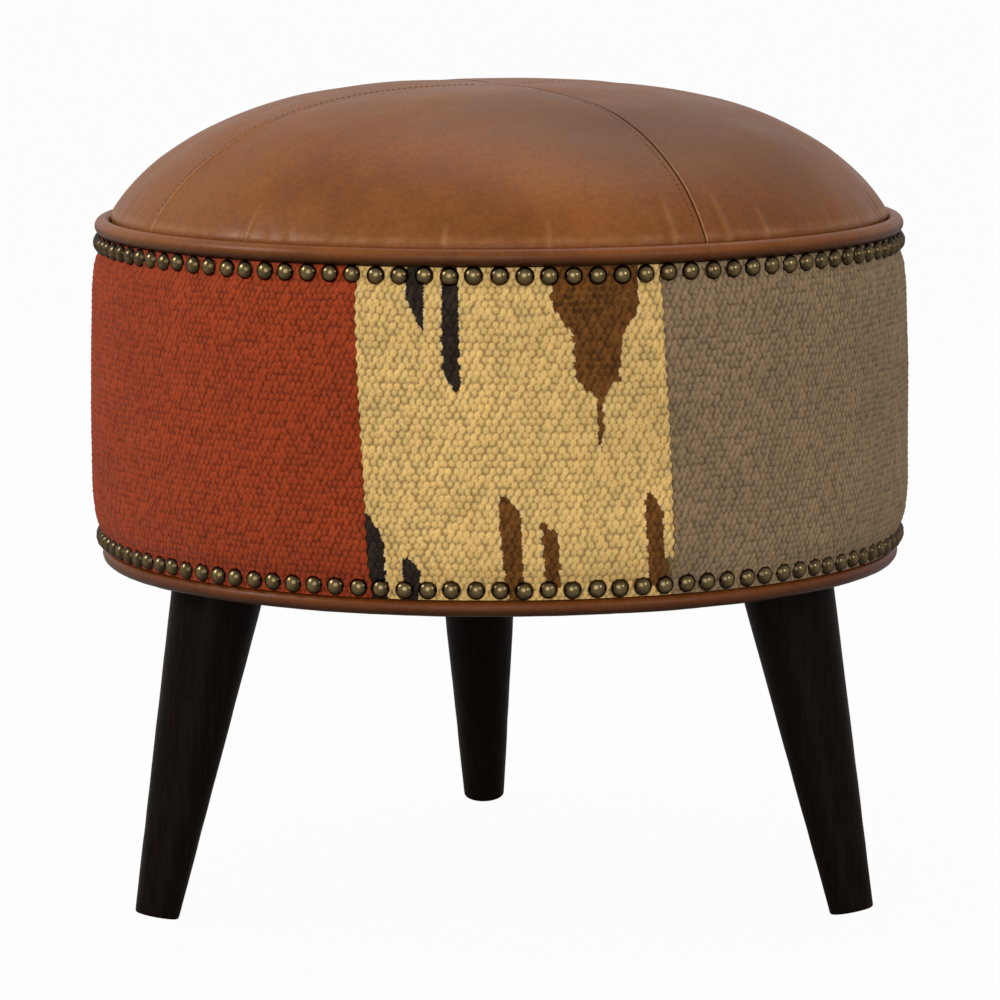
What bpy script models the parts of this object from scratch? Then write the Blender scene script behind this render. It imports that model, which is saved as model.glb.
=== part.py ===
"""Round footstool on three splayed legs: leather dome top, woven kilim side, brass nail rows."""
import math

import bmesh
import bpy
from mathutils import Matrix, Vector

# ---- clearances (metres) ----
touchGap = 0.0003          # left between pieces that touch or are stitched together
paddingGap = 0.0012        # between a cover and the padding under it, whose line is offset only roughly
boltHoleGap = 0.0004       # radial room round each bolt and screw

# ---- drum: plywood boards, hardboard wall ----
boardRadius = 0.2162
wallThickness = 0.003
baseBottomZ = 0.1939
baseThickness = 0.018
drumHeight = 0.1826        # from the base's underside to the deck's top
deckThickness = 0.015
uprightCount = 6
uprightWidth = 0.045
uprightDepth = 0.022
uprightInset = 0.0022      # from the board's rim to the upright's outer face

# ---- domed top ----
domeOverhang = 0.005       # how far the dome's widest line stands out from the wall
domeHeight = 0.0806
domePower = 3.1
domeShoulder = 0.74
domeFlow = 0.9             # how evenly the curve's points are spread
crownHole = 0.0015         # the four points never quite meet at the crown
goreCount = 4
goreTurn = math.radians(-60)
leatherThickness = 0.0013
hemDrop = 0.0016           # how far the hem hangs below the piping's centre
waddingThickness = 0.005

# ---- piping ----
pipingLeather = 0.0012
topPipingRadius = 0.0047
topPipingStand = 0.002     # from the wall to the piping's inner side
topFlangeLength = 0.0155
bottomPipingRadius = 0.0045
bottomFlangeLength = 0.005
# where each wrap starts on its circle, and how far it goes round, in degrees
topWrapStart = -100
bottomWrapStart = 155
wrapSweep = 325

# ---- kilim side and its padding ----
kilimThickness = 0.0024
# how far the cloth's face stands out from the wall, top to bottom
kilimTopStand = 0.0086
kilimUpperStand = 0.0131
kilimLowerStand = 0.0145
kilimBottomStand = 0.0091
kilimEdgeGap = 0.0006      # from the cloth's turned edge to the piping
# the swell between the nail rows: heights measured from the nails' edges, and shares of the swell
swellNear = 0.006
swellFar = 0.022
swellLow = 0.005
swellTopShare = 0.7
swellLowShare = 0.75
# name, where its left seam stands, in degrees from +X
kilimPanels = (
    ("kilim_rust", -188.0),
    ("kilim_straw", -108.7),
    ("kilim_taupe", -67.2),
    ("kilim_indigo", 9.0),
    ("kilim_wheat", 62.0),
    ("kilim_umber", 118.0),
)

# ---- nail rows ----
topNailCount = 108
bottomNailCount = 111
nailHeadDiameter = 0.0096
nailHeadHeight = 0.0029
nailWaist = 0.25           # the joining strip, as a share of the head

# ---- legs ----
legSplay = math.radians(12.75)
legInset = 0.0328          # from the board's rim to the centre of the leg's top
footDiameter = 0.0248
legTopDiameter = 0.0527
footChamfer = 0.0012
# name, where the foot stands and which way it leans out, in degrees from +X
legs = (
    ("left", -148.9, -148.9),
    ("right", -29.3, -29.3),
    ("rear", 92.7, 84.8),
)
plateMargin = 0.0053       # how much wider the plate is than the leg's top
plateThickness = 0.002
screwInset = 0.0062        # from the plate's edges to each screw
screwShaftDiameter = 0.0038
screwHeadDiameter = 0.007
screwHeadHeight = 0.0022
screwTip = 0.003
boltDiameter = 0.0078
boltInLeg = 0.030
fixingCover = 0.0045       # board left above the tips of the screws and bolts
dustCoverThickness = 0.0008
dustCoverInset = 0.0007

ringSteps = 36
pipingSteps = 8
domeSteps = 7
legSteps = 24
boltSteps = 12
cordSteps = 5
smallSteps = 8
cutterSize = 0.6           # wide enough to trim any leg

# ---- sizes that follow ----
wallRadius = boardRadius + touchGap + wallThickness
baseTopZ = baseBottomZ + baseThickness
deckTopZ = baseBottomZ + drumHeight
deckBottomZ = deckTopZ - deckThickness
flangeRadius = wallRadius + touchGap + pipingLeather / 2
flangeZ = baseBottomZ - touchGap - pipingLeather / 2
topPipingRing = wallRadius + topPipingStand + topPipingRadius
topPipingZ = deckTopZ + touchGap + topPipingRadius
flangeTopZ = topPipingZ - topPipingRadius - pipingLeather
bottomPipingRing = wallRadius + touchGap + bottomPipingRadius
bottomPipingZ = baseBottomZ - touchGap
hemRadius = topPipingRing - topPipingRadius - 2 * touchGap
hemZ = topPipingZ - hemDrop
domeRadius = wallRadius + domeOverhang
domeBaseZ = hemZ
crownZ = domeBaseZ + domeHeight
kilimTopRadius = wallRadius + kilimTopStand
kilimUpperRadius = wallRadius + kilimUpperStand
kilimLowerRadius = wallRadius + kilimLowerStand
kilimBottomRadius = wallRadius + kilimBottomStand
kilimTopZ = topPipingZ - topPipingRadius - kilimEdgeGap + touchGap
kilimBottomZ = bottomPipingZ + bottomPipingRadius + touchGap
facetSag = kilimLowerRadius * (1 - math.cos(math.pi / ringSteps))
topNailZ = topPipingZ - topPipingRadius - nailHeadDiameter / 2
bottomNailZ = kilimBottomZ + nailHeadDiameter / 2
dustCoverRadius = boardRadius - dustCoverInset
dustCoverTopZ = flangeZ - pipingLeather / 2 - touchGap
plateSize = legTopDiameter + plateMargin
plateTopZ = dustCoverTopZ - dustCoverThickness - touchGap
legTopZ = plateTopZ - plateThickness - touchGap
fixingTopZ = baseTopZ - fixingCover
screwLength = fixingTopZ - legTopZ - screwTip
footRise = (footDiameter / 2 - footChamfer) * math.sin(legSplay)
legRun = (legTopZ - footRise) / math.cos(legSplay)
footRing = boardRadius - legInset + legRun * math.sin(legSplay)


def clearScene():
    for item in list(bpy.data.objects):
        bpy.data.objects.remove(item, do_unlink=True)


def newCollection(name):
    group = bpy.data.collections.new(name)
    bpy.context.scene.collection.children.link(group)
    return group


def newMaterial(name, colour, roughness, metallic=0.0):
    material = bpy.data.materials.new(name)
    material.use_nodes = True
    shader = material.node_tree.nodes["Principled BSDF"]
    shader.inputs["Base Color"].default_value = (*colour, 1.0)
    shader.inputs["Roughness"].default_value = roughness
    shader.inputs["Metallic"].default_value = metallic
    material.diffuse_color = (*colour, 1.0)
    return material


def addObject(name, mesh, material, parent, group=None):
    item = bpy.data.objects.new(name, mesh)
    (group or model).objects.link(item)
    item.parent = parent
    if material:
        item.data.materials.append(material)
    return item


def chainMesh(name, points, closed):
    """An edge chain in the XZ plane, ready for a Screw modifier."""
    shape = bmesh.new()
    corners = [shape.verts.new((x, 0.0, z)) for x, z in points]
    for first, second in zip(corners, corners[1:]):
        shape.edges.new((first, second))
    if closed:
        shape.edges.new((corners[-1], corners[0]))
    mesh = bpy.data.meshes.new(name)
    shape.to_mesh(mesh)
    shape.free()
    return mesh


def turned(name, points, material, parent, closed=True, sweep=2 * math.pi, steps=ringSteps):
    """Turn a profile round Z; the points run down its outer side."""
    item = addObject(name, chainMesh(name, points, closed), material, parent)
    screw = item.modifiers.new("turn", "SCREW")
    screw.axis = "Z"
    screw.angle = sweep
    screw.steps = steps
    screw.render_steps = steps
    screw.use_merge_vertices = True
    screw.merge_threshold = 0.00005
    screw.use_smooth_shade = False
    return item


def solidify(item, thickness, centred=False):
    """Thicken an open surface inward from its outer face, or about its middle."""
    shell = item.modifiers.new("thickness", "SOLIDIFY")
    shell.thickness = thickness
    shell.offset = 0.0 if centred else -1.0
    shell.use_even_offset = True
    shell.use_rim = True
    return shell


def cut(item, cutter, operation="DIFFERENCE"):
    tool = item.modifiers.new("cut", "BOOLEAN")
    tool.operation = operation
    tool.solver = "EXACT"
    tool.object = cutter


def primitive(name, make, material, parent, group=None):
    """A mesh object from one bmesh primitive call."""
    shape = bmesh.new()
    make(shape)
    bmesh.ops.recalc_face_normals(shape, faces=shape.faces)
    mesh = bpy.data.meshes.new(name)
    shape.to_mesh(mesh)
    shape.free()
    return addObject(name, mesh, material, parent, group)


def cylinder(shape, radius, depth, steps, place=Matrix()):
    bmesh.ops.create_cone(shape, cap_ends=True, segments=steps, radius1=radius, radius2=radius,
                          depth=depth, matrix=place)


def block(shape, size, place=Matrix()):
    bmesh.ops.create_cube(shape, size=1.0, matrix=place @ Matrix.Diagonal((*size, 1.0)))


def hideCutter(cutter):
    cutter.hide_render = True
    cutter.display_type = "WIRE"


def domePoint(share, inset=0.0):
    """A point of the dome's curve, share 0 at the crown and 1 where it comes straight down."""
    radius = domeRadius - inset
    height = domeHeight - inset
    reach = math.sin(share * math.pi / 2) ** domeFlow
    drop = max(0.0, 1.0 - reach ** domePower) ** domeShoulder
    return radius * reach, domeBaseZ + height * drop


def domeCurve(bottomZ, inset=0.0):
    """Points of the dome from its crown down to bottomZ."""
    low, high = 0.0, 1.0
    for _ in range(40):
        middle = (low + high) / 2
        if domePoint(middle, inset)[1] > bottomZ:
            low = middle
        else:
            high = middle
    return [domePoint(low * k / domeSteps, inset) for k in range(1, domeSteps + 1)]


def arcPoints(centre, radius, startDeg, endDeg, count):
    angles = [math.radians(startDeg + (endDeg - startDeg) * k / count) for k in range(count + 1)]
    return [(centre[0] + radius * math.cos(a), centre[1] + radius * math.sin(a)) for a in angles]


def kilimProfile(inset=0.0):
    """The side's outer line, top to bottom: flat under each nail row, full between them."""
    half = nailHeadDiameter / 2
    highZ = topNailZ - half
    lowZ = bottomNailZ + half
    topSwell = (kilimUpperRadius - kilimTopRadius) * swellTopShare
    lowSwell = (kilimLowerRadius - kilimBottomRadius) * swellLowShare
    points = (
        (kilimTopRadius, kilimTopZ),
        (kilimTopRadius, highZ),
        (kilimTopRadius + topSwell, highZ - swellNear),
        (kilimUpperRadius, highZ - swellFar),
        (kilimLowerRadius, lowZ + swellFar),
        (kilimBottomRadius + lowSwell, lowZ + swellLow),
        (kilimBottomRadius, lowZ),
        (kilimBottomRadius, kilimBottomZ),
    )
    return [(radius - inset, z) for radius, z in points]


def buildDrum(stand, materials):
    """Base board, deck, uprights between them, and the bent hardboard wall."""
    base = primitive("base_board", lambda shape: cylinder(shape, boardRadius, baseThickness, ringSteps),
                     materials["plywood"], stand)
    base.location = (0.0, 0.0, baseBottomZ + baseThickness / 2)
    deck = primitive("seat_deck", lambda shape: cylinder(shape, boardRadius, deckThickness, ringSteps),
                     materials["plywood"], stand)
    deck.location = (0.0, 0.0, deckTopZ - deckThickness / 2)
    uprightHeight = deckBottomZ - baseTopZ - 2 * touchGap
    ring = boardRadius * math.cos(math.asin(uprightWidth / 2 / boardRadius)) - uprightInset
    for k in range(uprightCount):
        turn = 2 * math.pi * k / uprightCount
        post = primitive(f"upright_{k + 1}",
                         lambda shape: block(shape, (uprightDepth, uprightWidth, uprightHeight)),
                         materials["softwood"], stand)
        reach = ring - uprightDepth / 2
        post.location = (reach * math.cos(turn), reach * math.sin(turn), (baseTopZ + deckBottomZ) / 2)
        post.rotation_euler = (0.0, 0.0, turn)
    inner = wallRadius - wallThickness
    outside = ((wallRadius, deckTopZ), (wallRadius, baseBottomZ))
    wallPoints = (*outside, (inner, baseBottomZ), (inner, deckTopZ))
    turned("drum_wall", wallPoints, materials["hardboard"], stand)
    return base


def cordRadius(wrap):
    """The cord's radius inside a leather wrap, whose facets come in nearer than its corners."""
    facet = math.radians(wrapSweep / pipingSteps)
    return wrap * math.cos(facet / 2) - pipingLeather / 2 - touchGap


def buildPiping(stand, materials):
    """Leather wrapped round a cord, with one flange tucked away; the wrap stays open at the seam."""
    wrap = topPipingRadius - pipingLeather / 2
    centre = (topPipingRing, topPipingZ)
    line = arcPoints(centre, wrap, topWrapStart, topWrapStart + wrapSweep, pipingSteps)
    line.append((flangeRadius, flangeTopZ))
    line.append((flangeRadius, flangeTopZ - topFlangeLength))
    top = turned("piping_top_leather", line, materials["piping"], stand, closed=False)
    solidify(top, pipingLeather, centred=True)
    turned("piping_top_cord", arcPoints(centre, cordRadius(wrap), 0, -300, cordSteps),
           materials["cord"], stand)

    wrap = bottomPipingRadius - pipingLeather / 2
    centre = (bottomPipingRing, bottomPipingZ)
    line = arcPoints(centre, wrap, bottomWrapStart, bottomWrapStart - wrapSweep, pipingSteps)
    line.append((wallRadius, flangeZ))
    line.append((wallRadius - bottomFlangeLength, flangeZ))
    bottom = turned("piping_bottom_leather", line, materials["piping"], stand, closed=False)
    solidify(bottom, pipingLeather, centred=True)
    turned("piping_bottom_cord", arcPoints(centre, cordRadius(wrap), 0, -300, cordSteps),
           materials["cord"], stand)


def buildSide(stand, materials):
    """Foam wrap and the kilim panels sewn edge to edge over it."""
    line = kilimProfile(kilimThickness + paddingGap + facetSag)
    line[0] = (line[0][0], flangeTopZ - pipingLeather)
    line[-1] = (line[-1][0], kilimBottomZ + 2 * touchGap)
    innerLow = wallRadius + touchGap
    innerHigh = flangeRadius + pipingLeather / 2 + touchGap
    stepZ = flangeTopZ - topFlangeLength - 2 * touchGap
    back = [(innerLow, line[-1][1]), (innerLow, stepZ), (innerHigh, stepZ), (innerHigh, line[0][1])]
    turned("side_foam", line + back, materials["foam"], stand)

    # a thickened panel's end face leans by half a facet, so the seam leaves room for both
    lean = kilimThickness * math.sin(math.pi / ringSteps)
    seamGap = (touchGap + 2 * lean) / kilimTopRadius
    starts = [math.radians(left) for _, left in kilimPanels]
    ends = starts[1:] + [starts[0] + 2 * math.pi]
    for (name, _), start, end in zip(kilimPanels, starts, ends):
        sweep = end - start - seamGap
        steps = max(3, math.ceil(sweep / (2 * math.pi / ringSteps)))
        panel = turned(name, kilimProfile(), materials[name], stand, closed=False, sweep=sweep, steps=steps)
        panel.rotation_euler = (0.0, 0.0, start + seamGap / 2)
        solidify(panel, kilimThickness)


def buildDome(stand, materials):
    """Foam, wadding and four leather gores."""
    hemTop = topPipingZ + topPipingRadius
    foamInset = leatherThickness + waddingThickness + paddingGap + touchGap
    foamLine = domeCurve(hemTop, foamInset)
    foamBottom = deckTopZ + touchGap
    foamFloor = [(boardRadius - touchGap, foamBottom), (0.0, foamBottom)]
    foamPoints = [(0.0, crownZ - foamInset)] + foamLine + foamFloor
    turned("dome_foam", foamPoints, materials["foam"], stand, closed=False)

    waddingInset = leatherThickness + paddingGap
    outer = domeCurve(hemTop + 2 * touchGap, waddingInset)
    inner = domeCurve(hemTop + 2 * touchGap, foamInset - touchGap)
    waddingTop = [(0.0, crownZ - waddingInset)] + outer
    waddingPoints = waddingTop + inner[::-1] + [(0.0, crownZ - foamInset + touchGap)]
    turned("dome_wadding", waddingPoints, materials["wadding"], stand, closed=False)

    line = [(crownHole, crownZ)] + domeCurve(hemTop)
    line += [(hemRadius, topPipingZ + hemDrop), (hemRadius, hemZ)]
    side = 2 * domeRadius
    corner = Matrix.Translation(((side + touchGap) / 2, (side + touchGap) / 2, 0.0))
    for k in range(goreCount):
        turn = goreTurn + 2 * math.pi * k / goreCount
        gore = turned(f"leather_gore_{k + 1}", line, materials["leather"], stand, closed=False)
        gore.rotation_euler = (0.0, 0.0, turn)
        solidify(gore, leatherThickness)
        outline = primitive(f"gore_outline_{k + 1}", lambda shape: block(shape, (side, side, side), corner),
                            None, stand, cutters)
        outline.location = (0.0, 0.0, domeBaseZ)
        outline.rotation_euler = (0.0, 0.0, turn)
        hideCutter(outline)
        cut(gore, outline, "INTERSECT")


def buildNailRow(name, nailCount, backRadius, z, stand, materials):
    """A row of nail heads, joined by a thin strip so that the row is one piece."""
    half = nailHeadDiameter / 2
    nailPitch = 2 * math.pi / nailCount
    back = backRadius + touchGap
    front = back + nailHeadHeight
    points = ((back, z + half), (front, z + half * 0.5), (front, z - half * 0.5), (back, z - half))
    row = turned(name, points, materials["brass"], stand, steps=2 * nailCount)
    bpy.context.view_layer.update()
    mesh = bpy.data.meshes.new_from_object(row.evaluated_get(bpy.context.evaluated_depsgraph_get()))
    row.modifiers.clear()
    shape = bmesh.new()
    shape.from_mesh(mesh)
    bmesh.ops.remove_doubles(shape, verts=shape.verts, dist=0.00005)
    # every other ring of points is a waist between two heads
    for corner in shape.verts:
        station = round(math.atan2(corner.co.y, corner.co.x) / (nailPitch / 2))
        if station % 2:
            radius = math.hypot(corner.co.x, corner.co.y)
            slim = (back + (radius - back) * nailWaist) / radius
            corner.co = Vector((corner.co.x * slim, corner.co.y * slim, z + (corner.co.z - z) * nailWaist))
    bmesh.ops.recalc_face_normals(shape, faces=shape.faces)
    shape.to_mesh(mesh)
    shape.free()
    row.data = mesh
    return row


def legFrame(footDeg, leanDeg):
    """The foot's centre and the leg's axis, as a matrix whose Z runs up the leg."""
    foot = math.radians(footDeg)
    lean = math.radians(leanDeg)
    inward = Vector((-math.cos(lean), -math.sin(lean), 0.0))
    axis = inward * math.sin(legSplay) + Vector((0.0, 0.0, math.cos(legSplay)))
    side = Vector((-math.sin(lean), math.cos(lean), 0.0))
    place = Vector((footRing * math.cos(foot), footRing * math.sin(foot), footRise))
    turn = Matrix((-side.cross(axis), -side, axis)).transposed()
    return Matrix.Translation(place) @ turn.to_4x4()


def buildLegs(stand, materials, base, dustCover):
    """Turned legs cut flat on top, each on a hanger bolt through a screwed plate."""
    footRadius = footDiameter / 2
    taper = (legTopDiameter / 2 - footRadius) / legRun
    legPoints = (
        (0.0, legRun + legTopDiameter),
        (footRadius + taper * (legRun + legTopDiameter), legRun + legTopDiameter),
        (footRadius + taper * footChamfer, footChamfer),
        (footRadius - footChamfer, 0.0),
        (0.0, 0.0),
    )
    trim = primitive("leg_trim", lambda shape: block(shape, (cutterSize, cutterSize, cutterSize)), None,
                     stand, cutters)
    trim.location = (0.0, 0.0, legTopZ + cutterSize / 2)
    hideCutter(trim)
    screwRing = plateSize / 2 - screwInset
    for name, footDeg, leanDeg in legs:
        frame = legFrame(footDeg, leanDeg)
        leg = turned(f"leg_{name}", legPoints, materials["darkWood"], stand, closed=False, steps=legSteps)
        leg.matrix_local = frame
        cut(leg, trim)

        boltLow = legRun - boltInLeg
        boltHigh = legRun + (fixingTopZ - legTopZ) / math.cos(legSplay)
        boltLength = boltHigh - boltLow
        boltHole = boltDiameter / 2 + boltHoleGap
        drillRun = 2 * boltLength
        boltPlace = frame @ Matrix.Translation((0.0, 0.0, (boltLow + boltHigh) / 2))
        bolt = primitive(f"hanger_bolt_{name}",
                         lambda shape: cylinder(shape, boltDiameter / 2, boltLength, boltSteps),
                         materials["steel"], stand)
        bolt.matrix_local = boltPlace
        drill = primitive(f"bolt_drill_{name}",
                          lambda shape: cylinder(shape, boltHole, boltLength + 2 * boltHoleGap, boltSteps),
                          None, stand, cutters)
        drill.matrix_local = boltPlace
        longDrill = primitive(f"bolt_way_{name}",
                              lambda shape: cylinder(shape, boltHole, drillRun, boltSteps),
                              None, stand, cutters)
        longDrill.matrix_local = frame @ Matrix.Translation((0.0, 0.0, legRun))
        hideCutter(drill)
        hideCutter(longDrill)

        topCentre = frame @ Vector((0.0, 0.0, legRun))
        plateTurn = Matrix.Rotation(math.radians(leanDeg), 4, "Z")
        plate = primitive(f"leg_plate_{name}",
                          lambda shape: block(shape, (plateSize, plateSize, plateThickness)),
                          materials["steel"], stand)
        plateSpot = Vector((topCentre.x, topCentre.y, plateTopZ - plateThickness / 2))
        plate.matrix_local = Matrix.Translation(plateSpot) @ plateTurn
        cut(leg, drill)
        for piece in (plate, base, dustCover):
            cut(piece, longDrill)

        corners = [(x, y) for x in (-screwRing, screwRing) for y in (-screwRing, screwRing)]
        for number, (x, y) in enumerate(corners):
            spot = plateTurn @ Vector((x, y, 0.0)) + Vector((topCentre.x, topCentre.y, 0.0))
            headZ = plateTopZ - plateThickness - touchGap
            shaft = screwShaftDiameter / 2
            head = screwHeadDiameter / 2
            pilotDepth = screwLength + screwHeadHeight
            screwPoints = (
                (0.0, headZ + screwLength),
                (shaft * 0.3, headZ + screwLength),
                (shaft, headZ + screwLength - screwTip),
                (shaft, headZ),
                (head, headZ),
                (head * 0.8, headZ - screwHeadHeight),
                (0.0, headZ - screwHeadHeight),
            )
            screw = turned(f"screw_{name}_{number + 1}", screwPoints, materials["steel"], stand,
                           closed=False, steps=smallSteps)
            screw.location = (spot.x, spot.y, 0.0)
            pilot = primitive(f"screw_pilot_{name}_{number + 1}",
                              lambda shape: cylinder(shape, shaft + boltHoleGap, pilotDepth, smallSteps),
                              None, stand, cutters)
            pilot.location = (spot.x, spot.y, headZ + screwLength + boltHoleGap - pilotDepth / 2)
            hideCutter(pilot)
            for piece in (plate, base, dustCover):
                cut(piece, pilot)


def buildDustCover(stand, materials):
    cover = primitive("dust_cover",
                      lambda shape: cylinder(shape, dustCoverRadius, dustCoverThickness, ringSteps),
                      materials["dustCloth"], stand)
    cover.location = (0.0, 0.0, dustCoverTopZ - dustCoverThickness / 2)
    return cover


def buildMaterials():
    return {
        "leather": newMaterial("leather", (0.25, 0.105, 0.043), 0.42),
        "piping": newMaterial("piping_leather", (0.19, 0.075, 0.03), 0.36),
        "kilim_rust": newMaterial("kilim_rust", (0.26, 0.043, 0.016), 0.95),
        "kilim_straw": newMaterial("kilim_straw", (0.56, 0.37, 0.13), 0.95),
        "kilim_taupe": newMaterial("kilim_taupe", (0.18, 0.125, 0.075), 0.95),
        "kilim_indigo": newMaterial("kilim_indigo", (0.03, 0.035, 0.055), 0.95),
        "kilim_wheat": newMaterial("kilim_wheat", (0.46, 0.31, 0.15), 0.95),
        "kilim_umber": newMaterial("kilim_umber", (0.115, 0.048, 0.016), 0.95),
        "brass": newMaterial("aged_brass", (0.23, 0.17, 0.08), 0.32, 1.0),
        "darkWood": newMaterial("dark_wood", (0.012, 0.007, 0.005), 0.35),
        "plywood": newMaterial("plywood", (0.52, 0.36, 0.20), 0.7),
        "softwood": newMaterial("softwood", (0.62, 0.45, 0.26), 0.7),
        "hardboard": newMaterial("hardboard", (0.20, 0.12, 0.06), 0.75),
        "foam": newMaterial("foam", (0.80, 0.74, 0.52), 0.95),
        "wadding": newMaterial("wadding", (0.88, 0.88, 0.86), 0.98),
        "cord": newMaterial("piping_cord", (0.82, 0.80, 0.74), 0.95),
        "dustCloth": newMaterial("dust_cloth", (0.015, 0.015, 0.016), 0.9),
        "steel": newMaterial("zinc_steel", (0.62, 0.62, 0.60), 0.35, 1.0),
    }


clearScene()
model = newCollection("kilim_footstool")
cutters = newCollection("cutters")
materials = buildMaterials()

# the stand's empty centres the whole object: only the rear foot reaches past the drum
stand = bpy.data.objects.new("stand", None)
model.objects.link(stand)
rearFoot = legs[-1]
rearReach = footRing * math.sin(math.radians(rearFoot[1])) + footDiameter / 2 * math.cos(legSplay)
stand.location = (0.0, min(0.0, (kilimLowerRadius - rearReach) / 2), 0.0)

base = buildDrum(stand, materials)
dustCover = buildDustCover(stand, materials)
buildPiping(stand, materials)
buildSide(stand, materials)
buildDome(stand, materials)
buildNailRow("nail_row_top", topNailCount, kilimTopRadius, topNailZ, stand, materials)
buildNailRow("nail_row_bottom", bottomNailCount, kilimBottomRadius, bottomNailZ, stand, materials)
buildLegs(stand, materials, base, dustCover)
bpy.context.view_layer.update()
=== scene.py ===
import math

import bpy
import numpy as np
from mathutils import Matrix, Vector


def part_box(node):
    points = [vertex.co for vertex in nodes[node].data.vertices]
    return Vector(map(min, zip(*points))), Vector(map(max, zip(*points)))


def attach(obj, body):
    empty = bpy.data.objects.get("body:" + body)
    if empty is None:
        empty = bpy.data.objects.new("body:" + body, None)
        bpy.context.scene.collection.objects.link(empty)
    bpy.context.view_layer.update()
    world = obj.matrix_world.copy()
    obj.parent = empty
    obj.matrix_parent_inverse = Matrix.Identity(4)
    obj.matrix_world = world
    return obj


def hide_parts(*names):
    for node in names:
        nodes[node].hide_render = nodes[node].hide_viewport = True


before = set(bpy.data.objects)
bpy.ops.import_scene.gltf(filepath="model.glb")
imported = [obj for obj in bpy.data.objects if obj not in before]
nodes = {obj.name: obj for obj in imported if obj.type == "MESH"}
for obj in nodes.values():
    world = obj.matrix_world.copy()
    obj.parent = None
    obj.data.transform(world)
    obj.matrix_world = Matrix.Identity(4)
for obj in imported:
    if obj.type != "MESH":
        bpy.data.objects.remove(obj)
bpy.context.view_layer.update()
wallLow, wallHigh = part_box("drum_wall")
axisX = (wallLow.x + wallHigh.x) / 2
axisY = (wallLow.y + wallHigh.y) / 2
wallRadius = (wallHigh.x - wallLow.x) / 2
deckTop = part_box("seat_deck")[1].z
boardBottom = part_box("base_board")[0].z
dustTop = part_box("dust_cover")[1].z
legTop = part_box("leg_left")[1].z
touchGap = 0.0003   # the room the frame leaves between pieces that touch
print("frame loaded:", len(nodes), "solids")


def smooth(low, high, value):
    share = np.clip((value - low) / (high - low), 0.0, 1.0)
    return share * share * (3.0 - 2.0 * share)


def bell(value, width):
    return np.exp(-(value / width) ** 2)


def hashed(*keys):
    # a repeatable number from 0 to 1 for each set of whole-number keys
    total = sum(np.asarray(key, float) * factor for key, factor in zip(keys, (12.9898, 78.233, 37.719)))
    return np.modf(np.abs(np.sin(total) * 43758.5453))[0]


def wander(value, seed, size):
    # slow random drift between -1 and 1 along one direction
    place = np.asarray(value, float) / size
    cell = np.floor(place)
    share = place - cell
    share = share * share * (3.0 - 2.0 * share)
    first = hashed(cell, seed)
    second = hashed(cell + 1.0, seed)
    return 2.0 * (first + (second - first) * share) - 1.0


def drift(across, up, seed, size):
    # the same over a surface
    x, y = np.asarray(across, float) / size, np.asarray(up, float) / size
    column, row = np.floor(x), np.floor(y)
    sx, sy = x - column, y - row
    sx, sy = sx * sx * (3.0 - 2.0 * sx), sy * sy * (3.0 - 2.0 * sy)
    low = hashed(column, row, seed) * (1 - sx) + hashed(column + 1, row, seed) * sx
    high = hashed(column, row + 1, seed) * (1 - sx) + hashed(column + 1, row + 1, seed) * sx
    return 2.0 * (low * (1 - sy) + high * sy) - 1.0


def addPiece(name, points, faces, material, stands=()):
    # points are rows of x, y, z; faces is a list of groups, each an array of equal faces or a list of loops
    mesh = bpy.data.meshes.new(name)
    points = np.ascontiguousarray(points, np.float32)
    corners, sizes = [], []
    for group in faces:
        if isinstance(group, np.ndarray):
            corners.append(group.ravel())
            sizes.append(np.full(len(group), group.shape[1]))
        else:
            corners += [np.asarray(loop) for loop in group]
            sizes.append(np.array([len(loop) for loop in group]))
    corners = np.concatenate(corners).astype(np.int32)
    sizes = np.concatenate(sizes).astype(np.int32)
    mesh.vertices.add(len(points))
    mesh.vertices.foreach_set("co", points.ravel())
    mesh.loops.add(len(corners))
    mesh.loops.foreach_set("vertex_index", corners)
    mesh.polygons.add(len(sizes))
    mesh.polygons.foreach_set("loop_start", np.concatenate([[0], np.cumsum(sizes)[:-1]]).astype(np.int32))
    mesh.polygons.foreach_set("loop_total", sizes)
    mesh.polygons.foreach_set("use_smooth", np.ones(len(sizes), bool))
    mesh.update(calc_edges=True)
    piece = bpy.data.objects.new(name, mesh)
    bpy.context.scene.collection.objects.link(piece)
    mesh.materials.append(material)
    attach(piece, "root")
    if stands:
        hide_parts(*stands)
    return piece


def gridFaces(rows, columns, start=0, wrapColumns=False, wrapRows=False, flip=False):
    # fours between the points of a grid, which may close on itself either way
    down = np.arange(rows if wrapRows else rows - 1)[:, None]
    along = np.arange(columns if wrapColumns else columns - 1)[None, :]
    nextDown = (down + 1) % rows
    nextAlong = (along + 1) % columns
    fours = np.stack([down * columns + along + 0 * nextDown, down * columns + nextAlong,
                      nextDown * columns + nextAlong, nextDown * columns + along], axis=-1).reshape(-1, 4)
    if flip:
        fours = fours[:, ::-1]
    return fours + start


def aroundAxis(azimuth, radius, height):
    return np.stack([axisX + radius * np.cos(azimuth), axisY + radius * np.sin(azimuth),
                     height + 0 * azimuth], axis=-1)


def ringOrder(steps):
    order = np.arange(steps)
    return order, (order + 1) % steps


def evenTurns(steps):
    return np.arange(steps) * (2 * math.pi / steps)


def fanFaces(steps, start=0):
    # threes from one corner to the ring that follows it
    order, nextOne = ringOrder(steps)
    return np.stack([0 * order, 1 + order, 1 + nextOne], axis=1) + start


def rimOf(rows, columns):
    # the corners round the edge of a grid, in order
    last = (rows - 1) * columns
    return np.concatenate([np.arange(columns), np.arange(1, rows) * columns + columns - 1,
                           last + np.arange(columns - 2, -1, -1), np.arange(rows - 2, 0, -1) * columns])


def paint(mesh, name, kind, domain, values):
    layer = mesh.attributes.new(name, kind, domain)
    layer.data.foreach_set("color" if kind == "FLOAT_COLOR" else "value", values.astype(np.float32).ravel())


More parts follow.
